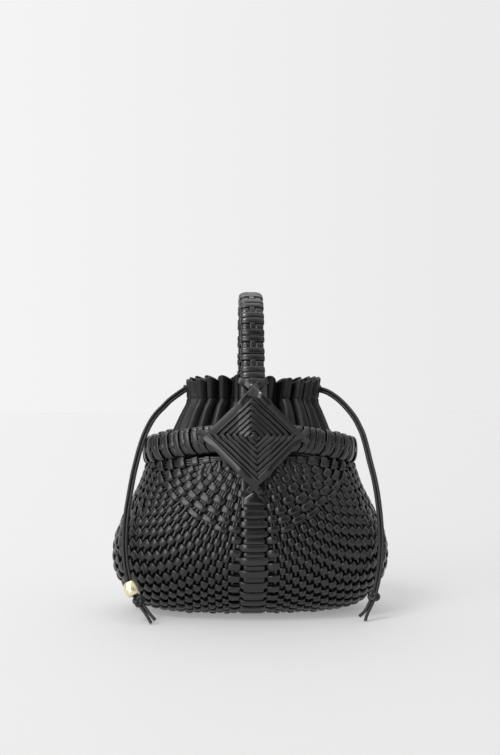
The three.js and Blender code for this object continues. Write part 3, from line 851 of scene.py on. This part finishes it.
def rib_strips():
    """The ribs, thin and gathered in the fan, thicker beyond it."""
    radii = np.linspace(FAN_START, FAN_EDGE, FAN_STEPS, endpoint=False)
    for rib in range(1, RIBS + 1):
        turn = rib_turn(rib, radii)
        x, z = fan_place(turn, radii)
        fan = front_point(x, z)
        outer = rib_lines[rib][::4]
        points = np.vstack([fan, outer])
        out = outwards(points)
        grown = np.clip(np.arange(len(points)) / FAN_STEPS - 0.8, 0, 0.4) / 0.4
        size = FAN_RIB_WIDE / RIB_WIDE + (1 - FAN_RIB_WIDE / RIB_WIDE) * grown
        size[:FAN_STEPS] *= np.minimum(radii / FAN_RIBS_FULL, 1)
        for side in (-1, 1):
            mirror = np.array([side, 1, 1])
            yield line_of((points - out * middle_depth(points)) * mirror, out * mirror, size)


woven_leather = leather("woven_leather", 0.22, lines=0.12, shine=0.6)
front_lines = list(fan_strips()) + list(outer_strips())
front_ribs = list(rib_strips())


def to_rear(lines):
    """The same lines on the basket's rear."""
    return [line_of(line["points"] * (1, -1, 1), line["facing"] * (1, -1, 1), line["size"]) for line in lines]


front_weave, rear_weave = (
    lay_strips(name, lines, woven_leather, STRIP_WIDE, STRIP_THICK, 0.42)
    for name, lines in (("front_weave", front_lines), ("rear_weave", to_rear(front_lines)))
)
ribs = lay_strips("ribs", front_ribs + to_rear(front_ribs), woven_leather, RIB_WIDE, RIB_THICK, 0.85, 8)
for piece in (front_weave, rear_weave, ribs):
    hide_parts("basket_wall")
    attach(piece, "root")

# The lining: the hide of the drawstring pouch goes on down inside the basket, close behind the weave. It
# shows as black between the strips and through the pouch's mouth.
LINING_DEPTH = 0.0063
LINING_THICK = 0.001
LINING_TOP = 1.985
ROUND_STEPS = 120


def wall_ring(level, share=1.0):
    """A ring of points round the basket's outer face, at a level from 0, the base, to 2, the rim."""
    angle = np.linspace(0, 2 * math.pi, ROUND_STEPS, endpoint=False)
    height = min(level, 1) * BELLY_HEIGHT + max(level - 1, 0) * (wall_top(angle) - BELLY_HEIGHT)
    width, depth, square = wall_at(level)
    x = width * power(np.sin(angle), 2 / square)
    y = -depth * power(np.cos(angle), 2 / square)
    return np.stack([share * x, share * y, height * np.ones_like(angle)], 1)


def inside_wall(depth):
    """Rings of points from the middle of the base up to the rim, at a depth inside the basket's face."""
    rings = [wall_ring(0.0, share) for share in (0.3, 0.65, 0.9)]
    rings += [wall_ring(level) for level in np.linspace(0, 1, 12)]
    rings += [wall_ring(level) for level in np.linspace(1.08, LINING_TOP, 12)]
    return [ring - outwards(ring) * depth for ring in rings]


smooth_leather = leather("smooth_leather", 0.34, grain=0.0006, grain_depth=0.2, shine=0.3)
lining_rows = inside_wall(LINING_DEPTH) + inside_wall(LINING_DEPTH + LINING_THICK)[::-1]
lining = closed_sheet("pouch_lining", lining_rows, smooth_leather, capped=True)
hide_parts("basket_wall")
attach(lining, "root")

# The spine: the lower half of the upright hoop, wrapped down the front, under the base and up the rear.
# The basket's own strips cross over it as wide bars, and a narrow wrap lies between each two of them. A
# plain band of hide covers its head, under the lashing.
SPINE_WIDE = 0.0205
SPINE_CORE_WIDE = 0.0175
SPINE_CORE_THICK = 0.003
SPINE_CORE_DEPTH = 0.0021
SPINE_WRAP_WIDE = 0.0054
SPINE_WRAP_THICK = 0.0016
SPINE_WRAP_TUCK = 0.003
SPINE_SQUARE = 0.35
SPINE_PROUD = 0.0012
SPINE_SUNK = 0.001
SPINE_TOP = 0.134
HEAD_TOP = 0.138
HEAD_LOW = 0.1085
HEAD_WIDE = 0.0236
HEAD_THICK = 0.0018
HEAD_LIFT = -0.0001
FIRST_WRAP_ROW = 5


def spine_top(height):
    """How far the narrow wraps stand out of the basket's face."""
    proud = proud_share(height)
    return SPINE_PROUD * proud - SPINE_SUNK * (1 - proud)


fan_rows_under = [row for row in range(FIRST_WRAP_ROW, len(FAN_ROWS)) if row % 2]
spine_places = [front_point(np.zeros(1), np.array([FAN_HEIGHT - FAN_ROWS[row]]))[0] for row in fan_rows_under]
for row in range(OUTER_ROWS - 1, -1, -1):
    if (len(FAN_ROWS) + OUTER_ROWS - 1 - row) % 2:
        spine_places.append(surface_places(np.zeros(1), row_shares[:1, row])[0])

spine_lines = []
for place in spine_places:
    out = outwards(place[None])[0]
    turn = np.linspace(-0.2, 1.2, 26) * math.pi
    across = (SPINE_WIDE - SPINE_WRAP_THICK) / 2 * power(np.cos(turn), SPINE_SQUARE)
    tuck = SPINE_WRAP_TUCK * (1 - power(np.sin(turn), SPINE_SQUARE))
    lift = spine_top(place[2]) - SPINE_WRAP_THICK / 2 - tuck
    points = place + lift[:, None] * out + across[:, None] * (1.0, 0.0, 0.0)
    aside = power(np.cos(turn), 2 - SPINE_SQUARE)[:, None] * (1.0, 0.0, 0.0)
    facing = aside / SPINE_WIDE * 2 + power(np.sin(turn), 2 - SPINE_SQUARE)[:, None] * out / SPINE_WRAP_TUCK
    spine_lines.append(line_of(points, facing))
core = np.vstack([front_point(np.zeros(12), np.linspace(SPINE_TOP, 0.082, 12)), rib_lines[0][2::4]])
core_out = outwards(core)
core = core + core_out * (spine_top(core[:, 2]) - SPINE_CORE_DEPTH - SPINE_CORE_THICK / 2)[:, None]
core_lines = [line_of(core, core_out)]
head = front_point(np.zeros(16), np.linspace(HEAD_TOP, HEAD_LOW, 16))
head_out = outwards(head)
head_lines = [line_of(head + head_out * HEAD_LIFT, head_out)]

spine_wraps = lay_strips(
    "spine_wraps", spine_lines + to_rear(spine_lines), woven_leather,
    SPINE_WRAP_WIDE, SPINE_WRAP_THICK,
)
spine_core = lay_strips(
    "spine_core", core_lines + to_rear(core_lines), woven_leather, SPINE_CORE_WIDE, SPINE_CORE_THICK, 0.5, 16
)
spine_head = lay_strips(
    "spine_head", head_lines + to_rear(head_lines), woven_leather, HEAD_WIDE, HEAD_THICK, 0.5, 16
)

# The plate at the head of the spine: the end of its first wrap, folded to a point and pressed flat.
PLATE_OUTLINE = [(0.0, 0.1237), (0.0102, 0.1164), (0.0102, 0.1106), (-0.0102, 0.1106), (-0.0102, 0.1164)]
PLATE_RINGS = [(1.0, -0.0012), (1.0, 0.0008), (0.975, 0.0016), (0.92, 0.002), (0.7, 0.0024), (0.35, 0.0026)]
corner_loop = np.array(PLATE_OUTLINE + PLATE_OUTLINE[:1])
loop_reach = distances(corner_loop)
even = np.linspace(0, loop_reach[-1], 90, endpoint=False)
plate_edge = table_at(corner_loop, loop_reach, even)
plate_edge = (np.roll(plate_edge, 1, 0) + plate_edge + np.roll(plate_edge, -1, 0)) / 3
plate_middle = plate_edge.mean(0)
plate_rows = []
for share, lift in PLATE_RINGS:
    flat = plate_middle + share * (plate_edge - plate_middle)
    ring = front_point(flat[:, 0], flat[:, 1])
    plate_rows.append(ring + outwards(ring) * lift)
plates = []
for side, name in ((1, "front_plate"), (-1, "rear_plate")):
    rows_here = [row * (1, side, 1) for row in plate_rows]
    plates.append(closed_sheet(name, rows_here, woven_leather, capped=True))
for piece in (spine_wraps, spine_core, spine_head, *plates):
    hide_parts("spine_band")
    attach(piece, "root")

# The rim: a stiff oval hoop, wrapped all the way round. Every second wrap lies lower, and a flat lace is
# threaded along the hoop's face, over the low wraps and under the others.
WRAP_WIDE = 0.0061
WRAP_THICK = 0.0016
RIM_WRAPS = 88
RIM_PLAIN_WRAPS = 9
RIM_WRAP_WIDE = 0.0058
RIM_SINK = 0.0014
RIM_LEAN = 0.006
RIM_UNEVEN = 0.0001
WRAP_DRIFT = 0.15
RIM_COVER = 0.0056
LACE_DIP = 0.0012
LACE_WIDE = 0.0052
LACE_THICK = 0.0012
WRAP_SQUARE = 0.74
HOOP_SAMPLES = 32


def rim_middle(turn):
    rise = RIM_FRONT_RISE * np.cos(turn) ** 2
    return np.stack(
        [RIM_HALF_WIDTH * np.sin(turn), -RIM_HALF_DEPTH * np.cos(turn), RIM_SIDE_HEIGHT + rise], -1
    )


def wrap_line(middle, way, out, up, half_thick, half_tall, sink, lean):
    """One turn of strip round a bar: its middle, the way along the bar, the way out of its face, the way
    up across it, and how far the turn is sunk in and leans along the bar, each at its places round."""
    turn = np.linspace(0, 2 * math.pi, HOOP_SAMPLES, endpoint=False)
    thick = half_thick - WRAP_THICK / 2 - sink(turn)
    tall = half_tall - WRAP_THICK / 2 - sink(turn)
    outward = power(np.cos(turn), WRAP_SQUARE)
    upward = power(np.sin(turn), WRAP_SQUARE)
    points = middle + (thick * outward)[:, None] * out + (tall * upward)[:, None] * up
    points = points + lean(turn)[:, None] * way
    away = power(np.cos(turn), 2 - WRAP_SQUARE) / half_thick
    above = power(np.sin(turn), 2 - WRAP_SQUARE) / half_tall
    return line_of(points, away[:, None] * out + above[:, None] * up, closed=True)


fine_turn = np.linspace(0, 2 * math.pi, 2001)
rim_reach = distances(rim_middle(fine_turn))
rim_pitch = rim_reach[-1] / RIM_WRAPS
random = np.random.default_rng(11)
rim_lines = []
for wrap in range(RIM_WRAPS):
    turn = np.interp(rim_pitch * (wrap + WRAP_DRIFT * random.uniform(-1, 1)), rim_reach, fine_turn)
    from_front = min(wrap, RIM_WRAPS - wrap, abs(RIM_WRAPS // 2 - wrap))
    low = from_front % 2 == 1 and from_front > RIM_PLAIN_WRAPS
    sink = RIM_SINK if low else RIM_UNEVEN * random.uniform(-1, 1)
    middle = rim_middle(turn)
    way = unit(rim_middle(turn + 0.001) - middle)
    out = unit(np.cross(way, (0.0, 0.0, 1.0)))
    lean_way = -np.sign(math.sin(2 * turn))
    rim_lines.append(
        wrap_line(
            middle, way, out, np.cross(out, way), RIM_THICK / 2, RIM_TALL / 2,
            lambda turn: sink * np.ones_like(turn),
            lambda turn: lean_way * RIM_LEAN * np.clip(-np.sin(turn), 0, 1) ** 2 * np.cos(turn / 2) ** 2,
        )
    )
lace_turn = np.interp(np.linspace(0, rim_reach[-1], RIM_WRAPS * 6, endpoint=False), rim_reach, fine_turn)
lace_middle = rim_middle(lace_turn)
lace_out = unit(np.cross(directions(lace_middle, True), (0.0, 0.0, 1.0)))
lace_place = np.arange(RIM_WRAPS * 6) / 6
lace_from_end = np.minimum(lace_place, RIM_WRAPS - lace_place)
lace_from_front = np.minimum(lace_from_end, np.abs(RIM_WRAPS / 2 - lace_place))
lace_wave = np.where(lace_from_front > RIM_PLAIN_WRAPS + 1, -np.cos(math.pi * lace_place), -1.0)
lace_face = RIM_THICK / 2 - RIM_SINK + LACE_THICK / 2 - LACE_DIP * (1 - power(lace_wave, 0.6))
lace = line_of(lace_middle + lace_face[:, None] * lace_out, lace_out, closed=True)
hoop = line_of(lace_middle[::4], lace_out[::4], closed=True)
rim_wraps = lay_strips("rim_wraps", rim_lines, woven_leather, RIM_WRAP_WIDE, WRAP_THICK, 0.75)
rim_lace = lay_strips("rim_lace", [lace], woven_leather, LACE_WIDE, LACE_THICK, 0.6)
rim_hoop = lay_strips(
    "rim_hoop", [hoop], woven_leather, RIM_TALL - RIM_COVER, RIM_THICK - RIM_COVER, 0.8, 20
)
for piece in (rim_wraps, rim_lace, rim_hoop):
    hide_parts("rim_band")
    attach(piece, "root")

# The handle: the upper half of the upright hoop. It stands in front of the rim and bends over in an arch.
# Every third wrap lies lower, and a flat lace runs along the outside, over the low wraps.
handle_low, handle_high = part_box("handle")
HANDLE_WIDE = 0.0234
HANDLE_THICK = 0.01
HANDLE_FOOT_THICK = 0.007
HANDLE_CORE_WIDE = 0.019
HANDLE_CORE_THICK = 0.0032
ARCH_RADIUS = 0.05
LEG_LEAN = 0.22
WRAP_PITCH = 0.0062
LOW_WRAP_HEIGHT = 0.2445
HANDLE_DRIFT = 0.06
HANDLE_SINK = 0.0009
HANDLE_DIP = 0.0014
HANDLE_DIP_HALF = 0.0042
HANDLE_LACE_LOW = -0.0026
HANDLE_LACE_RISE = 0.0019
COLLAR_WIDE = 0.0264
COLLAR_THICK = 0.0108
COLLAR_LOW = 0.2
COLLAR_HIGH = 0.2262
rim_front = RIM_SIDE_HEIGHT + RIM_FRONT_RISE
arch = ARCH_RADIUS - HANDLE_THICK / 2
arch_height = handle_high.z - ARCH_RADIUS
foot_y = RIM_HALF_DEPTH + RIM_THICK / 2 + CLEARANCE + HANDLE_FOOT_THICK / 2
knee = rim_front + RIM_TALL / 4
join = np.array([-arch * math.cos(LEG_LEAN), arch_height + arch * math.sin(LEG_LEAN)])
reach = (join[1] - knee) / 2
bend_points = np.array([
    (-foot_y, knee),
    (-foot_y + 0.12 * (foot_y - arch), knee + reach / 2),
    join - reach * np.array([math.sin(LEG_LEAN), math.cos(LEG_LEAN)]),
    join,
])
t = np.linspace(0, 1, 120)[:, None]
leg = sum(c * (1 - t) ** (3 - k) * t**k * bend_points[k] for k, c in enumerate((1, 3, 3, 1)))
turn = np.linspace(LEG_LEAN, math.pi / 2, 90)[1:]
top = np.stack([-arch * np.cos(turn), arch_height + arch * np.sin(turn)], 1)
foot = np.stack([np.full(20, -foot_y), np.linspace(handle_low.z, knee, 20, endpoint=False)], 1)
half_line = np.vstack([foot, leg, top])
whole_line = np.vstack([half_line, half_line[-2::-1] * (-1, 1)])
handle_line = np.column_stack([np.zeros(len(whole_line)), whole_line])
handle_way = directions(handle_line)
handle_out = np.column_stack([np.zeros(len(whole_line)), -handle_way[:, 2], handle_way[:, 1]])
grown = np.clip((handle_line[:, 2] - rim_front - RIM_TALL / 2) / RIM_TALL, 0, 1)
handle_half = (HANDLE_FOOT_THICK + (HANDLE_THICK - HANDLE_FOOT_THICK) * grown) / 2
handle_face = handle_line + handle_out * handle_half[:, None]
face_reach = distances(handle_face)
front_face = handle_face[: len(half_line)]


def at_handle(table, reach):
    """What a table along the handle says at a distance along its outer face."""
    return table_at(table, face_reach, reach)


low_reach = np.interp(LOW_WRAP_HEIGHT, front_face[:, 2], face_reach[: len(half_line)])
first_wrap = -int(low_reach / WRAP_PITCH - 0.5)
last_wrap = int((face_reach[-1] - low_reach) / WRAP_PITCH - 0.5)
side_way = np.array([1.0, 0.0, 0.0])
handle_lines = []
for wrap in range(first_wrap, last_wrap + 1):
    here = low_reach + WRAP_PITCH * (wrap + HANDLE_DRIFT * random.uniform(-1, 1))
    out = unit(at_handle(handle_out, here))
    half = at_handle(handle_half[:, None], here)[0]
    low = wrap % 3 == 0 and at_handle(handle_line, here)[2] > COLLAR_HIGH

    def sink(turn, low=low, half=half):
        across = HANDLE_WIDE / 2 * power(np.sin(turn), WRAP_SQUARE)
        dip = HANDLE_DIP * np.exp(-((across / HANDLE_DIP_HALF) ** 4)) * (np.cos(turn) > 0)
        return (HANDLE_SINK + dip) * low

    handle_lines.append(
        wrap_line(
            at_handle(handle_line, here), unit(at_handle(handle_way, here)), out, side_way,
            half, HANDLE_WIDE / 2, sink, np.zeros_like,
        )
    )
lace_reach = np.linspace(low_reach - 3 * WRAP_PITCH, face_reach[-1] - low_reach + 3 * WRAP_PITCH, 420)
wave = np.cos(2 * math.pi * (lace_reach - low_reach) / WRAP_PITCH / 3)
rise = smoothly((wave + 0.1) / 0.85)
lace_out = unit(at_handle(handle_out, lace_reach))
lace_lift = HANDLE_LACE_LOW + HANDLE_LACE_RISE * rise
lace_points = at_handle(handle_face, lace_reach) + lace_out * lace_lift[:, None]
handle_wraps = lay_strips("handle_wraps", handle_lines, woven_leather, WRAP_WIDE, WRAP_THICK, 0.8)
handle_lace = lay_strips(
    "handle_lace", [line_of(lace_points, lace_out)], woven_leather, LACE_WIDE, LACE_THICK, 0.6
)
handle_core = lay_strips(
    "handle_core", [line_of(handle_line[::3], handle_out[::3])], woven_leather,
    HANDLE_CORE_WIDE, HANDLE_CORE_THICK, 0.5, 16,
)
collar_part = (half_line[:, 1] > COLLAR_LOW) & (half_line[:, 1] < COLLAR_HIGH)
collar_line = handle_line[: len(half_line)][collar_part][::2]
collar_out = handle_out[: len(half_line)][collar_part][::2]
collar_lines = [line_of(collar_line, collar_out)]
collars = lay_strips(
    "handle_collars", collar_lines + to_rear(collar_lines), woven_leather,
    COLLAR_WIDE, COLLAR_THICK, 0.45, 24,
)
for piece in (handle_wraps, handle_lace, handle_core, collars):
    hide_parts("handle")
    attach(piece, "root")

# The diamond lashings, front and rear, where the two hoops cross: flat strips wound in square rings. Each
# ring's inner edge stands up over the next one. The outermost strips cross over at the corners, and are
# carried on round the handle, the rim and the spine.
LASHING_BACK = foot_y + HANDLE_FOOT_THICK / 2 + CLEARANCE
LASHING_HALF = 0.045
LASHING_UP = 0.94
LASHING_FLAT_HALF = COLLAR_WIDE / 2 + CLEARANCE
LASHING_FALL = 0.0015
BACKING_DEPTHS = (0.0002, 0.0026)
RING_EDGES = [0.0374, 0.0312, 0.0247, 0.0195, 0.0134, 0.0079, 0.0026]
RING_WIDE = 0.0057
RING_THICK = 0.0015
RING_TILT = 0.45
RING_HEIGHT = 0.0042
RING_LIFT = 0.001
RING_TUCK = 0.0007
RING_LIFT_REACH = 0.008
CENTRE_SHARE = 0.6
# A ring's side lies aslant, so its strip takes up more room across the page than it is wide: the width as
# a share of that room. And how far a side runs on past its corner, as a share of the width.
RING_SLANT = 0.685
RING_PAST = 0.46
# How far the outermost strips stand out of the lashing, the handle and the basket, those that cross over
# and those under them. Where they leave the lashing, and where they turn in to the rim and to the side.
OVER_STRIP = {"lashing": 0.0016, "handle": 0.005, "basket": 0.0034}
UNDER_STRIP = {"lashing": 0.0004, "handle": 0.0035, "basket": 0.0018}
STRIP_LEAVES = (0.038, 0.049)
STRIP_TO_RIM = (0.044, 0.053)
STRIP_TO_SIDE = (0.0505, 0.0535)
STRIP_IN_AT_RIM = 0.0055
STRIP_IN_ABOVE = 0.004
STRIP_IN_BELOW = 0.0035
STRIP_SIZE = 1.12
# The outermost strips' way, from the corner at the rim to where each ends: across, up, and how far it
# stands out of the handle or the basket there, or nothing where it lies on the lashing.
UPPER_STRIP = [
    (0.052, -0.0062), (0.045, 0.0), (0.0342, 0.0104), (0.0229, 0.0215), (0.0122, 0.0322),
    (0.0055, 0.0392), (0.0, 0.0446), (-0.0062, 0.0503), (-0.0118, 0.0527), (-0.0142, 0.0535),
]
LOWER_STRIP = [
    (-0.052, 0.0062), (-0.045, 0.0), (-0.0342, -0.0104), (-0.0229, -0.0215), (-0.0122, -0.0322),
    (-0.0052, -0.0392), (0.0, -0.0446), (0.006, -0.052), (0.0105, -0.0565), (0.0128, -0.0588),
]


def lashing_point(across, up, depth):
    """A place on the lashing, and how far it stands out of the handle's foot behind it."""
    rim_share = LASHING_HALF / (RIM_HALF_WIDTH + RIM_THICK / 2)
    rim_face = (RIM_HALF_DEPTH + RIM_THICK / 2) * math.sqrt(1 - rim_share**2) + CLEARANCE
    bent = np.clip((np.abs(across) - LASHING_FLAT_HALF) / (LASHING_HALF - LASHING_FLAT_HALF), 0, None)
    fall = LASHING_FALL * (up / LASHING_UP / LASHING_HALF) ** 2
    back = LASHING_BACK + (rim_face - LASHING_BACK) * bent - fall + depth
    return np.stack([across, -back, rim_front + up], -1)


def between(values, start, stop):
    """How far values are from one end to the other, from 0 to 1 with soft ends."""
    return smoothly((values - start) / (stop - start))


def ring_strip(edge, start, stop, start_lift, stop_lift, wide):
    """One side of a ring, from one corner to the next, lifted or tucked in at each end."""
    half = edge + wide / 2 / RING_SLANT
    start = half * np.array(start) * (1, LASHING_UP)
    stop = half * np.array(stop) * (1, LASHING_UP)
    length = np.linalg.norm(stop - start)
    past = RING_PAST * wide / length
    share = np.linspace(-past, 1 + past, 26)
    flat = start + share[:, None] * (stop - start)
    near = RING_LIFT_REACH / length
    lift = start_lift * smoothly(1 - share / near) + stop_lift * smoothly(1 - (1 - share) / near)
    ends = smoothly((-share / past) - 0.2) + smoothly((share - 1) / past - 0.2)
    depth = RING_HEIGHT + RING_LIFT * lift - RING_TUCK * ends
    points = lashing_point(flat[:, 0], flat[:, 1], depth)
    normal = lashing_normal(flat)
    away = unit(np.array([start[1] - stop[1], stop[0] - start[0]]))
    away = away * np.sign(np.dot(away, start + stop))
    away = np.array([away[0], 0.0, away[1]])
    return line_of(points, normal + math.tan(RING_TILT) * away)


def lashing_normal(flat):
    across, up = flat.T
    step = 0.0005
    right = lashing_point(across + step, up, 0.0) - lashing_point(across - step, up, 0.0)
    above = lashing_point(across, up + step, 0.0) - lashing_point(across, up - step, 0.0)
    return unit(np.cross(right, above))


def outer_strip(way, side, over):
    """One of the four outermost strips, bent back at its ends to the rim, the handle or the basket."""
    flat = smooth_at(way, np.linspace(0, len(way) - 1, 72)) * (side, 1)
    up = flat[:, 1]
    lift = OVER_STRIP if over else UNDER_STRIP
    points = lashing_point(flat[:, 0], up, RING_HEIGHT + lift["lashing"])
    top_y = np.interp(rim_front + up, front_face[:, 2], front_face[:, 1]) - lift["handle"]
    low_y = front_point(flat[:, 0], rim_front + up)[:, 1] - lift["basket"]
    rest_y = np.where(up > 0, top_y, low_y)
    points[:, 1] += between(np.abs(up), *STRIP_LEAVES) * (rest_y - points[:, 1])
    points[:, 1] += between(np.abs(flat[:, 0]), *STRIP_TO_RIM) * STRIP_IN_AT_RIM
    to_side = between(np.abs(up), *STRIP_TO_SIDE) * (np.abs(flat[:, 0]) < LASHING_HALF / 2)
    points[:, 1] += to_side * np.where(up > 0, STRIP_IN_ABOVE, STRIP_IN_BELOW)
    way_along = directions(points)
    across = unit(np.cross(way_along, (0.0, -1.0, 0.0)))
    normal = unit(np.cross(across, way_along))
    normal *= np.sign(-normal[:, 1:2])
    away = unit(np.stack([np.sign(flat[:, 0]) * 0.7, np.zeros(len(up)), np.sign(up) * 0.7], 1))
    tilted = between(-np.abs(up), -0.036, -0.026)[:, None] * between(-np.abs(flat[:, :1]), -0.044, -0.034)
    return line_of(points, normal + 0.5 * math.tan(RING_TILT) * away * tilted, STRIP_SIZE)


top_corner, right_corner, low_corner, left_corner = (0, 1), (1, 0), (0, -1), (-1, 0)
lashing_lines = []
for edge in RING_EDGES:
    wide = RING_WIDE if edge > RING_EDGES[-1] else CENTRE_SHARE * RING_WIDE
    for start, stop, start_lift, stop_lift in (
        (left_corner, top_corner, -1, -1),
        (right_corner, top_corner, -1, 1),
        (right_corner, low_corner, 1, -1),
        (left_corner, low_corner, 1, 1),
    ):
        strip = ring_strip(edge, start, stop, start_lift, stop_lift, wide)
        strip["size"] = np.full(len(strip["size"]), wide / RING_WIDE)
        lashing_lines.append(strip)
lashing_lines += [outer_strip(way, side, side > 0) for way in (UPPER_STRIP, LOWER_STRIP) for side in (1, -1)]
backing_rows = []
for share in np.linspace(-1, 1, 41):
    side = np.linspace(-1, 1, 41)
    across, up = LASHING_HALF / 2 * (side + share), LASHING_HALF / 2 * LASHING_UP * (side - share)
    behind, before = (lashing_point(across, up, depth) for depth in BACKING_DEPTHS)
    backing_rows.append(np.vstack([behind, before[::-1]]))
for name, side in (("front_lashing", 1), ("rear_lashing", -1)):
    lines_here = lashing_lines if side > 0 else to_rear(lashing_lines)
    strips = lay_strips(name + "_strips", lines_here, woven_leather, RING_WIDE, RING_THICK, 0.42)
    rows_here = [row * (1, side, 1) for row in backing_rows]
    backing = closed_sheet(name + "_backing", rows_here, woven_leather, capped=True)
    for piece in (strips, backing):
        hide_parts(name)
        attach(piece, "root")

# The drawstring pouch: a wall of soft smooth hide that rises inside the rim and is gathered at its mouth.
# A seam runs round it under the channel for the drawcords, and the folds open out below.
POUCH_HALF_WIDE = RIM_HALF_WIDTH - RIM_THICK / 2 - CLEARANCE
POUCH_HALF_DEEP = RIM_HALF_DEPTH - RIM_THICK / 2 - CLEARANCE
MOUTH_HALF_WIDE = 0.0655
MOUTH_HALF_DEEP = 0.036
MOUTH_HEIGHT = 0.228
MOUTH_SHIFT = 0.003
POUCH_WALL = 0.0016
POUCH_DROP = 0.01
FOLDS = 26
FOLD_DEPTH = 0.0052
FOLD_CLOSED = 0.9
END_CALM = 0.8
SEAM_HEIGHT = 0.2095
SEAM_DEPTH = 0.0009
SEAM_HALF = 0.0008
LIP_WAVE = 0.0026
# How the pouch rises: height, width and depth as shares of the way from the rim to the mouth, and the
# depth of its folds as a share of the deepest.
POUCH_ROWS = [
    (0.0, 0.0, 0.0, 0.0), (0.08, 0.28, 0.22, 0.3), (0.17, 0.44, 0.36, 0.6), (0.3, 0.6, 0.53, 0.9),
    (0.44, 0.75, 0.7, 1.05), (0.57, 0.89, 0.85, 1.05), (0.67, 0.99, 0.94, 0.8), (0.78, 1.0, 0.96, 0.9),
    (0.9, 0.99, 0.95, 1.05), (1.0, 0.97, 0.93, 1.1),
]
# The rolled ends of the channel, where each pair of cords comes out.
EYELET_LONG = 0.0037
EYELET_SHORT = 0.0023
EYELET_WIDE = 0.0026
EYELET_THICK = 0.0013
EYELET_BACK = 0.0012
POUCH_LEVELS = 64
FOLD_STEPS = 18

pouch_steps = FOLDS * FOLD_STEPS
angle = np.linspace(0, 2 * math.pi, pouch_steps, endpoint=False)
calm = 1 - END_CALM * np.abs(np.sin(angle)) ** 4
uneven = 0.5 * np.sin(3 * angle + 0.7) + 0.4 * np.sin(5 * angle + 2.0) + 0.35 * np.sin(9 * angle)
fold_turn = FOLDS * angle + uneven
pouch_rows = []
for place in np.linspace(0, len(POUCH_ROWS) - 1, POUCH_LEVELS):
    rise, width, depth, fold = smooth_at(POUCH_ROWS, np.array([place]))[0]
    drift = 0.8 * (1 - rise) * np.sin(2 * angle + 0.5)
    fold_place = fold_turn + drift
    ripple = max(fold, 0) * FOLD_DEPTH * calm * np.cos(fold_place)
    low = (1 - smoothly(rise / 0.06)) * POUCH_DROP
    lip_turn = calm * np.cos(fold_place) + 0.8 * np.sin(3 * angle + 2.2)
    lip_wave = LIP_WAVE * smoothly((rise - 0.7) / 0.3) * lip_turn
    height = rim_middle(angle)[:, 2] * (1 - rise) + MOUTH_HEIGHT * rise - low + lip_wave
    seam = SEAM_DEPTH * np.exp(-(((height - SEAM_HEIGHT) / SEAM_HALF) ** 2))
    half_wide = POUCH_HALF_WIDE + (MOUTH_HALF_WIDE - POUCH_HALF_WIDE) * width + ripple - seam
    half_deep = POUCH_HALF_DEEP + (MOUTH_HALF_DEEP - POUCH_HALF_DEEP) * depth + ripple - seam
    fold_pitch = (half_wide + half_deep) / 2 / FOLDS
    closing = FOLD_CLOSED * min(max(fold, 0), 1) * calm * fold_pitch * np.sin(fold_place)
    along = unit(np.stack([half_wide * np.cos(angle), half_deep * np.sin(angle)], 1)) * closing[:, None]
    x = half_wide * np.sin(angle) + along[:, 0] + MOUTH_SHIFT * rise
    y = -half_deep * np.cos(angle) + along[:, 1]
    pouch_rows.append(np.stack([x, y, height], 1))
pouch_rows = np.array(pouch_rows)
around = np.roll(pouch_rows, -1, 1) - np.roll(pouch_rows, 1, 1)
upward = np.gradient(pouch_rows, axis=0)
normal = unit(np.cross(around, upward))
lip = pouch_rows[-1] - normal[-1] * POUCH_WALL / 2 + (0.0, 0.0, 0.4 * POUCH_WALL)
inner_rows = pouch_rows - normal * POUCH_WALL
pouch = closed_sheet("drawstring_pouch", [*pouch_rows, lip, *inner_rows[::-1]], smooth_leather)
middle_rows = pouch_rows - normal * POUCH_WALL / 2
fold_lengths = [distances(np.vstack([row, row[:1]]))[-1] for row in middle_rows]
rise_lengths = [distances(middle_rows[:, k])[-1] for k in range(0, pouch_steps, 6)]
corners = np.linalg.norm(np.cross(around, upward), axis=2) / 2
eyelet_lines = []
for route in (LEFT_ROUTE, RIGHT_ROUTE):
    spot, down, aside, front_way = along_route(route, 1)
    turn = np.linspace(0, 2 * math.pi, 40, endpoint=False)[:, None]
    ring = EYELET_LONG * np.cos(turn) * aside + EYELET_SHORT * np.sin(turn) * front_way
    eyelet_lines.append(line_of(spot - down * EYELET_BACK + ring, ring, closed=True))
eyelets = lay_strips("cord_eyelets", eyelet_lines, smooth_leather, EYELET_WIDE, EYELET_THICK, 0.8)
for piece in (pouch, eyelets):
    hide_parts("pouch")
    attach(piece, "root")
